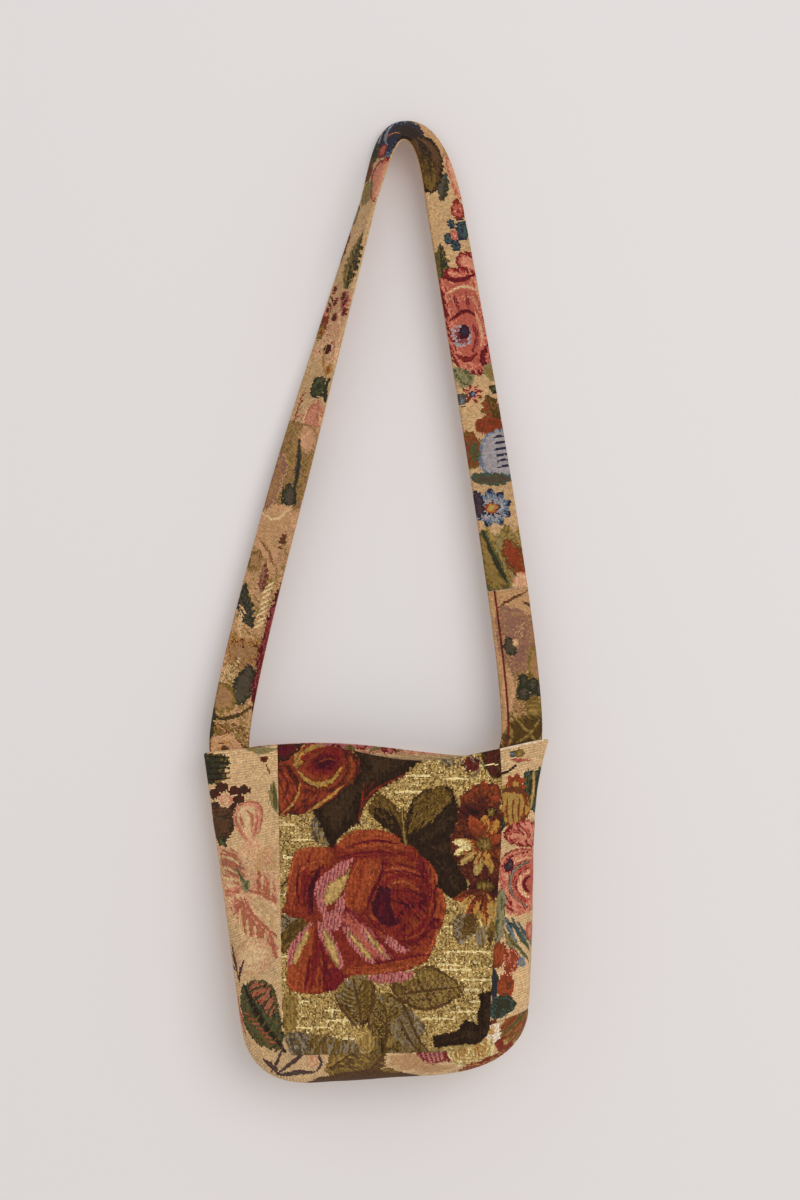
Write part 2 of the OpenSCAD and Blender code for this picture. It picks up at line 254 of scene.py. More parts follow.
def hemmed(points, normals, at, stitch, end):
    """Rows of a grid from the raw edge inside, over the mouth edge and down to the end.

    The first row of points lies on the mouth edge, and at gives how far down each row lies.
    """
    down = unit(np.gradient(points, axis=0))
    inner_n = round((hem_h - hem_r) / stitch)
    outer_n = round((end - hem_r) / stitch)
    inner = np.linspace(hem_h, hem_r, inner_n + 1)
    turn = np.full(hem_turn_n - 1, hem_r)
    outer = np.linspace(hem_r, end, outer_n + 1)
    depth = np.concatenate([inner, turn, outer])
    angle = np.concatenate([
        np.full(inner_n + 1, math.pi),
        np.linspace(math.pi, 0, hem_turn_n + 1)[1:-1],
        np.zeros(outer_n + 1),
    ])[:, None, None]
    rows = placed(points, at, depth)
    up = placed(-down, at, depth) * hem_r * np.sin(angle)
    inward = placed(-normals, at, depth) * hem_r * (1 - np.cos(angle))
    return rows + up + inward, depth


def panel_points(seam, bow, wave, stitch):
    """The outer face of a panel as rows from the mouth to the foot seam."""
    left = seam[:row_n]
    right = seam[::-1][:row_n]
    at = (lengths(left) + lengths(right)) / 2
    cols = round(panel_top_w / stitch)
    u = np.linspace(0, 1, cols + 1)
    f = side_down[:, None]
    points = mix(left[:, None], right[:, None], u[None, :, None])
    points[..., 1] += bow * np.sin(math.pi * u) * (1 - f * f)
    lift = crest(wave, u) - mix(crest(wave, 0), crest(wave, 1), u)
    points[..., 2] += lift * (1 - f) ** 2
    return points, at


# Steps along each straight length of the gusset's section and round each of its bends
leg_n = 24
bend_n = 12


def gusset_points(stitch):
    """The outer face of the whole gusset strip, as rows along it from the left mouth corner."""
    gap = unit(fold_back - fold_front)
    r = fold_round * fold_w[:, None]
    front_start = fold_front + unit(front_seam - fold_front) * r
    front_end = fold_front + gap * r
    back_start = fold_back - gap * r
    back_end = fold_back + unit(back_seam - fold_back) * r
    leg = np.linspace(0, 1, leg_n + 1)[:-1, None, None]
    bend = np.linspace(0, 1, bend_n + 1)[:, None, None]
    section = np.concatenate([
        mix(front_seam, front_start, leg),
        curve(front_start, fold_front, front_end, bend),
        curve(back_start, fold_back, back_end, bend),
        mix(back_seam, back_end, leg)[::-1],
    ])
    section = np.swapaxes(section, 0, 1)
    width = np.mean([lengths(line)[-1] for line in section])
    across = np.linspace(0, 1, round(width / stitch) + 1)
    rows = []
    for line in section:
        at = lengths(line)
        rows.append(placed(line, at, across * at[-1]))
    return np.array(rows)


# Softness of the cloth: it dips into its seams and swells between them, but not round the strap ends
seam_dip = 0.9
seam_reach = 2.4
pucker_every = 11
pucker_share = 0.25
swell = 1.1
swell_size = 34
swell_reach = 12
fine_share = 0.4
fine_size = swell_size / 3
stiff_h = 30
soft_from = 20
corner_drops = (1.5, 3)
corner_reach = 9


def softly(points, outward, edge, along, across, down, seed):
    """A grid moved along its normals, from each point's distance to a seam and its place on the cloth."""
    loose = np.clip((down - stiff_h) / soft_from, 0, 1)
    pucker = 1 - pucker_share + pucker_share * np.sin(2 * math.pi * along / pucker_every)
    dip = seam_dip * np.exp(-(edge / seam_reach) ** 2) * pucker
    lump = soft_noise(along, across, swell_size, seed)
    lump = lump + fine_share * soft_noise(along, across, fine_size, seed + 1)
    lump = lump - (1 + fine_share) / 2
    rise = swell * lump * (1 - np.exp(-(edge / swell_reach) ** 2))
    return points + outward * ((rise - dip) * loose)[..., None]


weld_reach = 1e-6


def closed_tube(mesh):
    """Joins the long edges of a rolled-up grid and closes its ends."""
    bm = bmesh.new()
    bm.from_mesh(mesh)
    bmesh.ops.remove_doubles(bm, verts=bm.verts, dist=weld_reach)
    layer = bm.loops.layers.float_color["yarn"]
    made = bmesh.ops.holes_fill(bm, edges=[edge for edge in bm.edges if edge.is_boundary], sides=0)
    for face in made["faces"]:
        for loop in face.loops:
            loop[layer] = loop.link_loop_radial_next[layer]
    bm.to_mesh(mesh)
    bm.free()


def woven(name, points, yarns, thick):
    """A cloth piece: one face for each stitch, with its yarn colour and its place in the weave."""
    rows, cols = points.shape[0] - 1, points.shape[1] - 1
    bm = bmesh.new()
    bmesh.ops.create_grid(bm, x_segments=cols, y_segments=rows, size=0.5)
    mesh = bpy.data.meshes.new(name)
    bm.to_mesh(mesh)
    bm.free()
    flat = np.empty(len(mesh.vertices) * 3, np.float32)
    mesh.vertices.foreach_get("co", flat)
    flat = flat.reshape(-1, 3)
    col = np.rint((flat[:, 0] + 0.5) * cols).astype(int)
    row = np.rint((flat[:, 1] + 0.5) * rows).astype(int)
    mesh.vertices.foreach_set("co", (points[row, col] * MM).astype(np.float32).ravel())
    corner = np.empty(len(mesh.loops), np.int32)
    mesh.loops.foreach_get("vertex_index", corner)
    face_row = row[corner].reshape(-1, 4).min(axis=1)
    face_col = col[corner].reshape(-1, 4).min(axis=1)
    colours = np.ones((len(corner), 4), np.float32)
    colours[:, :3] = np.repeat(yarns[face_row, face_col], 4, axis=0)
    layer = mesh.color_attributes.new("yarn", "FLOAT_COLOR", "CORNER")
    layer.data.foreach_set("color", colours.ravel())
    weave = mesh.uv_layers.new(name="weave")
    places = np.stack([col[corner], row[corner]], axis=1).astype(np.float32)
    weave.data.foreach_set("uv", places.ravel())
    mesh.polygons.foreach_set("use_smooth", np.ones(len(mesh.polygons), bool))
    mesh.materials.append(right_side)
    mesh.materials.append(wrong_side)
    if thick == 0:
        closed_tube(mesh)
    piece = bpy.data.objects.new(name, mesh)
    bpy.context.scene.collection.objects.link(piece)
    if thick > 0:
        wall = piece.modifiers.new("thickness", "SOLIDIFY")
        wall.thickness = thick * MM
        wall.offset = -1
        wall.material_offset = 1
    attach(piece, "root")
    return piece


# Route of the strap's middle line: left tuck, left leg, arch at the crown, right leg, right tuck
seat_edge = hem_t + seat_gap + strap_edge
tuck_share = strap_tuck / (panel_h - panel_reach[0][0])
tuck_n = 12
leg_route_n = 240
arch_route_n = 96
way_reach = 3.5


def seat_leg(right, f):
    p = side_points(front_corners, panel_reach, panel_bows, right, np.array([f]))[0]
    q = side_points(rim_corners, rim_reach, rim_bows, right, np.array([f]))[0]
    depth = depth_at(p[1])
    y = back_y - depth * mix(fold_places[right], fold_place_foot, f)
    width = mix(fold_mouth_w, fold_foot_w, f)
    return np.array([p[0], back_y - depth, p[1]]), np.array([q[0], y - width / 2, q[1]])


def seat_across(right, f):
    inner, outer = seat_leg(right, f)
    return unit(outer - inner)


def seat_on_leg(right, f):
    run = unit(seat_leg(right, tuck_share)[1] - seat_leg(right, 0)[1])
    slant = np.linalg.norm(np.cross(seat_across(right, 0), run))
    return seat_leg(right, f)[1] - seat_across(right, f) * (seat_edge + strap_w / 2) / slant


def seat_down(right):
    return unit(seat_on_leg(right, tuck_share) - seat_on_leg(right, 0))


def seat(right):
    inward = unit(np.cross(seat_down(right), seat_across(right, tuck_share / 2)))
    inward = inward * (-1 if right else 1)
    return seat_on_leg(right, 0) + inward * (hem_t + seat_gap + edge_fold_t + strap_t / 2)


crown_spot = np.array([0, 0, strap_t / 2 / math.sin(math.radians(roll_crown))])
shoulder_spots = [np.array([(1 if k else -1) * shoulders[k], 0, -shoulder_drop]) for k in (0, 1)]
shoulder_ways = [
    np.array([(-1 if k else 1) * math.sin(math.radians(leans[k])), 0, math.cos(math.radians(leans[k]))])
    for k in (0, 1)
]


def leg_route(right):
    a = seat(right)
    d = shoulder_spots[right]
    b = a - seat_down(right) * mouth_handle
    c = d - shoulder_ways[right] * leg_handle
    return curve3(a, b, c, d, np.linspace(0, 1, leg_route_n + 1)[:, None])


def arch_route(right):
    a = shoulder_spots[right]
    b = a + shoulder_ways[right] * shoulder_handle
    c = crown_spot + np.array([crown_handle if right else -crown_handle, 0, 0])
    return curve3(a, b, c, crown_spot, np.linspace(0, 1, arch_route_n + 1)[1:, None])


def tuck_route(right):
    return seat(right) + seat_down(right) * np.linspace(strap_tuck, 0, tuck_n + 1)[:-1, None]


legs = [np.concatenate([tuck_route(k), leg_route(k), arch_route(k)]) for k in (0, 1)]
route = np.concatenate([legs[0], legs[1][::-1][1:]])
route_at = lengths(route)
strap_length = route_at[-1]
crown_at = lengths(legs[0])[-1]
left_shoulder_at = lengths(legs[0])[-1 - arch_route_n]
right_shoulder_at = strap_length - lengths(legs[1])[-1 - arch_route_n]
right_mouth_at = strap_length - strap_tuck
left_join = strap_tuck + left_piece
right_join = right_mouth_at - right_piece
Y_WAY = np.array([0.0, 1.0, 0.0])


def level_out(t):
    return unit(np.stack([-t[..., 2], np.zeros(t.shape[:-1]), t[..., 0]], axis=-1))


def level_back(t):
    return unit(Y_WAY - t * t[..., 1:2])


def seat_roll(right, f):
    w = seat_across(right, f)
    t = seat_down(right) * (1 if right else -1)
    return math.degrees(math.atan2(w @ level_back(t), w @ level_out(t)))


roll_at = [
    0,
    strap_tuck,
    mix(strap_tuck, left_shoulder_at, 0.5),
    mix(strap_tuck, left_shoulder_at, 0.75),
    left_shoulder_at,
    crown_at,
    right_shoulder_at,
    mix(right_shoulder_at, right_mouth_at, 0.5),
    right_mouth_at,
    strap_length,
]
roll_plan = [
    seat_roll(0, tuck_share),
    seat_roll(0, 0),
    roll_left,
    roll_left_upper,
    roll_left_shoulder,
    roll_crown,
    roll_right_shoulder,
    roll_right,
    seat_roll(1, 0),
    seat_roll(1, tuck_share),
]


def strap_section(stitch):
    """Section of the strap as a closed line: across from its inner edge, and up to its front face."""
    w = strap_w / 2
    h = strap_t / 2
    e = strap_edge
    corners = np.array([
        (edge_fold_w - w + edge_fold_t, h),
        (w - e, h),
        (w, h - e),
        (w, e - h),
        (w - e, -h),
        (e - w, -h),
        (-w, e - h),
        (-w, h + edge_fold_t - e),
        (e - w, h + edge_fold_t),
        (edge_fold_w - w, h + edge_fold_t),
        (edge_fold_w - w + edge_fold_t, h),
    ])
    at = lengths(corners)
    return placed(corners, at, np.linspace(0, at[-1], round(at[-1] / stitch) + 1))


def strap_points(start, end, stitch):
    """Rings of a strap length, with the place of each point along and round it."""
    s = np.linspace(start, end, round((end - start) / stitch) + 1)
    middle = placed(route, route_at, s)
    ahead = placed(route, route_at, np.minimum(s + way_reach, strap_length))
    behind = placed(route, route_at, np.maximum(s - way_reach, 0))
    way = unit(ahead - behind)
    roll = np.radians(np.interp(s, roll_at, roll_plan))[:, None]
    across = level_out(way) * np.cos(roll) + level_back(way) * np.sin(roll)
    normal = np.cross(way, across)
    section = strap_section(stitch)
    points = (
        middle[:, None]
        + across[:, None] * section[None, :, :1]
        + normal[:, None] * section[None, :, 1:]
    )
    return points, s, section


def yarn(red, green, blue):
    """A yarn's colour, given as it looks on a screen, in the linear values that shaders use."""
    value = np.array([red, green, blue]) / 255
    return np.where(value <= 0.04045, value / 12.92, ((value + 0.055) / 1.055) ** 2.4)


# Yarns, named for their colours
cream = yarn(218, 181, 134)
cream_rib = yarn(197, 158, 113)
strap_cream = yarn(198, 162, 117)
peach = yarn(208, 154, 116)
tan = yarn(188, 144, 100)
tan_rib = yarn(172, 129, 88)
sand = yarn(160, 118, 78)
gold = yarn(182, 150, 90)
gold_dark = yarn(148, 116, 62)
gold_pale = yarn(230, 206, 146)
speck = yarn(100, 75, 42)
amber = yarn(178, 126, 58)
mustard = yarn(162, 128, 66)
flame = yarn(178, 90, 56)
orange = yarn(152, 70, 38)
rust = yarn(134, 58, 33)
rust_brown = yarn(108, 54, 30)
brick = yarn(122, 43, 31)
crimson = yarn(114, 32, 33)
wine = yarn(86, 24, 32)
plum = yarn(66, 22, 31)
maroon = yarn(78, 36, 28)
rose_pink = yarn(186, 112, 106)
mauve = yarn(140, 66, 64)
coral = yarn(180, 90, 72)
terracotta = yarn(170, 102, 74)
salmon = yarn(204, 132, 104)
pith = yarn(192, 154, 94)
olive = yarn(116, 89, 41)
olive_light = yarn(142, 114, 60)
olive_dark = yarn(84, 60, 28)
bark = yarn(46, 32, 22)
bark_light = yarn(62, 44, 29)
slate = yarn(134, 118, 98)
slate_dark = yarn(82, 70, 56)
leaf_dark = yarn(52, 51, 36)
leaf_green = yarn(84, 82, 49)
sage = yarn(136, 126, 88)
teal = yarn(66, 84, 78)
sky = yarn(104, 117, 132)
lilac = yarn(160, 150, 150)
navy = yarn(46, 45, 60)
twig_plum = yarn(84, 54, 54)
mauve_brown = yarn(142, 99, 80)
umber = yarn(92, 62, 40)
white = yarn(238, 222, 200)
pink_yarns = (mauve, rose_pink, rose_pink)

# How stitches are drawn: lengths in stitches, then shares of a shade
rib_every = 3.7
float_long = 7
float_wide = 1.3
fleck_edge = 1.2
area_reach = 3
ragged_most = 2
petal_ragged = 2.4
vein_half = 0.9
barb_w = 3
worn_size = 26
far_off = 1e9
float_share = 0.7
fleck_share = 1.1
stripe_slant = 0.2
stripe_swing = 0.42
blunt_petal = 0.7
blunt_leaf = 0.8
stitch_shade = 0.44
rib_shade = 0.1
streak_shade = 0.25
relief_shade = 0.4
worn_least = 0.92
worn_swing = 0.16
streak_w = 1.8
streak_h = 2.4

# Leaves: their jagged edge, the hatching off the rib, and the barbs along the middle line
jag_swing = 0.2
jag_turn = 0.9
jag_streak = 0.5
hatch_slant = 0.8
hatch_turn = 1.1
hatch_angle = 35
leaf_middle = 0.45
leaf_swing = 0.25
barb_root = 0.1
barb_root_run = 0.7
barb_tip = 0.34
barb_tip_run = 0.66
barb_swell = 0.2
barb_bow = 0.25

# Discs, flowers and curled roses
disc_reach = 2
disc_ragged = 0.5
heart_share = 0.28
lobe_n = 5
lobe_swing = 0.07
curl_rings = 3.2
curl_turns = 1.5
curl_wave = 0.3
curl_wave_n = 3
rose_least = 0.15
curl_shade = 0.5
rim_shade = 0.4
rose_heart = (0.26, 0.24)
arc_point_n = 7

# Grain of the grounds, and the shades at which it turns to another yarn
grain_fleck = 0.9
grain_streak = 0.34
grain_least = 0.05
grain_angle = 70
speck_under = 0.22
gold_dark_under = 0.42
gold_pale_over = 0.88
strap_rib_share = 0.35


class Chart:
    """The stitches of one cloth: their places on its drawing, counted in stitches, and their yarns."""

    def __init__(self, x, y, seed):
        self.x = x
        self.y = y
        self.seed = seed
        self.fleck = np.random.default_rng(seed).random(x.shape)
        self.colour = np.zeros(x.shape + (3,))

    def near(self, points, reach):
        low = np.min(points, axis=0) - reach
        high = np.max(points, axis=0) + reach
        return np.nonzero((self.x > low[0]) & (self.x < high[0]) & (self.y > low[1]) & (self.y < high[1]))

    def streaks(self, pick, angle):
        """Noise from -0.5 to 0.5 that runs along an angle, as the floats of a weave do."""
        c, s = math.cos(math.radians(angle)), math.sin(math.radians(angle))
        x, y = self.x[pick], self.y[pick]
        return soft_noise((x * c + y * s) / float_long, (y * c - x * s) / float_wide, 1, self.seed) - 0.5

    def lay(self, pick, inside, shade, yarns, angle, rough):
        """Lays the yarns, first to last as the shade runs from 0 to 1, broken up along streaks."""
        table = np.atleast_2d(yarns)
        shade = shade + self.streaks(pick, angle) * rough * float_share
        shade = shade + (self.fleck[pick] - 0.5) * fleck_share / len(table)
        index = np.clip((shade * len(table)).astype(int), 0, len(table) - 1)
        chosen = tuple(axis[inside] for axis in pick)
        self.colour[chosen] = table[index[inside]]

    def area(self, points, yarns, span=8, angle=90, rough=0.9, edge=3.0, stripe=0, toward=None,
             sharp=False):
        """A field of colour. Its first yarn lies along its edge, or on the side that it runs away from."""
        points = np.array(points, float)
        if not sharp:
            points = softened(points, True)
        pick = self.near(points, area_reach)
        if len(pick[0]) == 0:
            return
        x, y = self.x[pick], self.y[pick]
        depth = np.full(len(x), far_off)
        odd = np.zeros(len(x), bool)
        for (ax, ay), (bx, by) in zip(points, np.roll(points, -1, axis=0)):
            share = ((x - ax) * (bx - ax) + (y - ay) * (by - ay)) / ((bx - ax) ** 2 + (by - ay) ** 2)
            share = np.clip(share, 0, 1)
            depth = np.minimum(depth, np.hypot(x - mix(ax, bx, share), y - mix(ay, by, share)))
            if ay != by:
                odd ^= ((ay > y) != (by > y)) & (x < ax + (y - ay) * (bx - ax) / (by - ay))
        depth = np.where(odd, depth, -depth)
        inside = depth + self.streaks(pick, angle) * edge + (self.fleck[pick] - 0.5) * fleck_edge > 0
        if toward is not None:
            way = np.array([math.cos(math.radians(toward)), math.sin(math.radians(toward))])
            run = points @ way
            shade = (x * way[0] + y * way[1] - run.min()) / (run.max() - run.min())
        elif stripe:
            shade = 0.5 + stripe_swing * np.sin(2 * math.pi * (x + stripe_slant * y) / stripe)
        elif span:
            shade = depth / span
        else:
            shade = np.full(len(x), 0.5)
        self.lay(pick, inside, shade, yarns, angle, rough)

    def hatch(self, points, yarns, angle):
        """A field of several yarns, mixed evenly in long floats along an angle."""
        self.area(points, yarns, span=0, angle=angle, rough=2.6, edge=4.0)

    def stroke(self, points, width, yarns, angle=90, rough=0.9, blunt=0.35):
        """A line of stitches that thins towards its ends, its first yarn along its edges."""
        points = softened(np.array(points, float), False)
        pick = self.near(points, width)
        if len(pick[0]) == 0:
            return
        x, y = self.x[pick], self.y[pick]
        at = lengths(points)
        best = np.full(len(x), far_off)
        where = np.zeros(len(x))
        for (ax, ay), (bx, by), start in zip(points[:-1], points[1:], at):
            long = math.hypot(bx - ax, by - ay)
            share = np.clip(((x - ax) * (bx - ax) + (y - ay) * (by - ay)) / long ** 2, 0, 1)
            far = np.hypot(x - mix(ax, bx, share), y - mix(ay, by, share))
            where = np.where(far < best, (start + share * long) / at[-1], where)
            best = np.minimum(best, far)
        half = width / 2 * (blunt + (1 - blunt) * np.sin(math.pi * where))
        ragged = self.streaks(pick, angle) * min(width / 3, ragged_most)
        self.lay(pick, best + ragged < half, 1 - best / half, yarns, angle, rough)

    def petal(self, base, tip, width, yarns, bend=0, rough=0.7, belly=1.0):
        """A petal from base to tip, its first yarn at the base and its streaks along it."""
        base, tip = np.array(base, float), np.array(tip, float)
        long = math.hypot(*(tip - base))
        pick = self.near([base, tip], width + abs(bend) * long)
        if len(pick[0]) == 0:
            return
        way = (tip - base) / long
        x, y = self.x[pick] - base[0], self.y[pick] - base[1]
        share = (x * way[0] + y * way[1]) / long
        held = np.clip(share, 0, 1)
        off = y * way[0] - x * way[1] - bend * long * np.sin(math.pi * held)
        half = width / 2 * np.sin(math.pi * held ** belly) ** blunt_petal
        angle = math.degrees(math.atan2(way[1], way[0]))
        ragged = self.streaks(pick, angle) * petal_ragged
        inside = (share > 0) & (share < 1) & (np.abs(off) + ragged < half)
        self.lay(pick, inside, share, yarns, angle, rough)

    def leaf(self, base, tip, width, yarns, bend=0, vein=None):
        """A leaf with a darker half, hatching that slants off its rib, and the rib itself."""
        base, tip = np.array(base, float), np.array(tip, float)
        long = math.hypot(*(tip - base))
        pick = self.near([base, tip], width + abs(bend) * long)
        if len(pick[0]) == 0:
            return
        way = (tip - base) / long
        x, y = self.x[pick] - base[0], self.y[pick] - base[1]
        share = (x * way[0] + y * way[1]) / long
        held = np.clip(share, 0, 1)
        off = y * way[0] - x * way[1] - bend * long * np.sin(math.pi * held)
        half = width / 2 * np.sin(math.pi * held ** blunt_leaf) ** blunt_leaf
        jag = 1 + jag_swing * np.sin(share * long * jag_turn) + self.streaks(pick, 45) * jag_streak
        inside = (share > 0) & (share < 1) & (np.abs(off) < half * jag)
        angle = math.degrees(math.atan2(way[1], way[0]))
        wave = np.sin((share * long - np.abs(off) * hatch_slant) * hatch_turn)
        shade = leaf_middle + leaf_swing * wave + leaf_swing * np.sign(off)
        self.lay(pick, inside, shade, yarns, angle + hatch_angle, rough=1.2)
        if vein is not None:
            self.lay(pick, inside & (np.abs(off) < vein_half), share, vein, angle, rough=0.2)

    def feather(self, base, tip, width, yarns, count):
        """Veins of a leaf: strokes that slant off its middle line like the barbs of a feather."""
        base, tip = np.array(base, float), np.array(tip, float)
        aside = np.array([base[1] - tip[1], tip[0] - base[0]]) / math.hypot(*(tip - base))
        for k in range(count):
            start = mix(base, tip, barb_root + barb_root_run * k / count)
            reach = width / 2 * math.sin(math.pi * (barb_swell + barb_root_run * k / count))
            for side in (-1, 1):
                end = mix(base, tip, barb_tip + barb_tip_run * k / count) + aside * side * reach
                bowed = mix(start, end, 0.5) + aside * side * reach * barb_bow
                self.stroke([start, bowed, end], barb_w, yarns, 60, 1.4, 0.5)
        self.stroke([base, mix(base, tip, 0.5), tip], barb_w, yarns, 60, 1.4, 0.5)

    def disc(self, x, y, rx, ry, yarns, rough=0.6, angle=90):
        """An oval of colour, its first yarn round its rim."""
        pick = self.near([(x, y)], max(rx, ry) + disc_reach)
        far = np.hypot((self.x[pick] - x) / rx, (self.y[pick] - y) / ry)
        self.lay(pick, far < 1 + self.streaks(pick, angle) * disc_ragged, 1 - far, yarns, angle, rough)

    def daisy(self, x, y, r, count, yarns, heart, turn=0, wide=0.6):
        """A flower of even petals round a small heart."""
        for k in range(count):
            way = math.radians(turn + 360 * k / count)
            tip = (x + r * math.cos(way), y + r * math.sin(way))
            self.petal((x, y), tip, r * wide, yarns)
        self.disc(x, y, r * heart_share, r * heart_share, heart)

    def rosette(self, x, y, r, yarns, heart, turn=0):
        """A rose of curled petals: rings of arcs that grow darker towards its heart."""
        pick = self.near([(x, y)], r + area_reach)
        dx, dy = self.x[pick] - x, self.y[pick] - y
        round_by = np.arctan2(dy, dx) + math.radians(turn)
        far = np.hypot(dx, dy) / (r * (1 + lobe_swing * np.cos(lobe_n * round_by)))
        curl = far * curl_rings + round_by / math.pi * curl_turns
        curl = (curl + curl_wave * np.sin(curl_wave_n * round_by)) % 1
        shade = rose_least + curl_shade * curl + rim_shade * far
        self.lay(pick, far < 1, shade, yarns, 90, rough=0.9)
        self.disc(x, y, r * rose_heart[0], r * rose_heart[1], heart)

    def arcs(self, x, y, radii, start, end, width, yarns):
        """Parts of rings round one middle, each in the next pair of yarns."""
        for k, r in enumerate(radii):
            ways = np.radians(np.linspace(start, end, arc_point_n))
            points = np.stack([x + r * np.cos(ways), y + r * np.sin(ways)], axis=1)
            self.stroke(points, width, yarns[k % len(yarns)], 90, 1.2, 0.6)

    def cream_ground(self, pale, rib):
        """A ribbed pale ground: every other row of stitches a shade darker."""
        row = np.arange(self.x.shape[0])[:, None] % 2 + (self.fleck - 0.5) * fleck_edge
        self.colour[:] = np.where((row > 0.5)[..., None], pale, rib)

    def gold_ground(self):
        """A gold ground full of dark specks, with long pale floats here and there."""
        everywhere = np.nonzero(self.x > -far_off)
        streaks = self.streaks(everywhere, grain_angle).reshape(self.x.shape)
        grain = grain_fleck * self.fleck + grain_streak * streaks + grain_least
        self.colour[:] = gold
        self.colour[grain < gold_dark_under] = gold_dark
        self.colour[grain < speck_under] = speck
        self.colour[grain > gold_pale_over] = gold_pale

    def finished(self, relief):
        """The stitches' colours, each lighter or darker than its yarn, by the stitch, rib and streak."""
        shade = 1 + (np.random.default_rng(self.seed + 1).random(self.x.shape) - 0.5) * stitch_shade
        shade += rib_shade * relief * np.sin(2 * math.pi * self.x / rib_every)
        streak = soft_noise(self.x / streak_w, self.y / streak_h, 1, self.seed + 3) - 0.5
        shade += (streak_shade + relief_shade * relief) * streak
        worn = worn_least + worn_swing * soft_noise(self.x, self.y, worn_size, self.seed + 2)
        return np.clip(self.colour * (shade * worn)[..., None], 0, 1)


def softened(points, closed):
    """A line with its corners cut off."""
    ahead = np.roll(points, -1, axis=0)
    cut = np.stack([mix(points, ahead, 0.25), mix(points, ahead, 0.75)], axis=1).reshape(-1, 2)
    return cut if closed else np.concatenate([points[:1], cut[1:-3], points[-1:]])


def middles(grid):
    """Middles of a grid's faces."""
    return (grid[:-1, :-1] + grid[1:, :-1] + grid[:-1, 1:] + grid[1:, 1:]) / 4


# The pouch's drawing is laid out flat as it is seen from the front, in stitches from its top left corner
chart_stitch = 0.86
chart_corner = np.array([-107.5, -521.8])
seen_from = np.array([-4.3, -2400, -401.4])


def on_chart(points):
    scale = -seen_from[1] / (points[..., 1] - seen_from[1])
    x = seen_from[0] + (points[..., 0] - seen_from[0]) * scale - chart_corner[0]
    y = chart_corner[1] - seen_from[2] - (points[..., 2] - seen_from[2]) * scale
    return np.stack([x, y], axis=-1) / chart_stitch


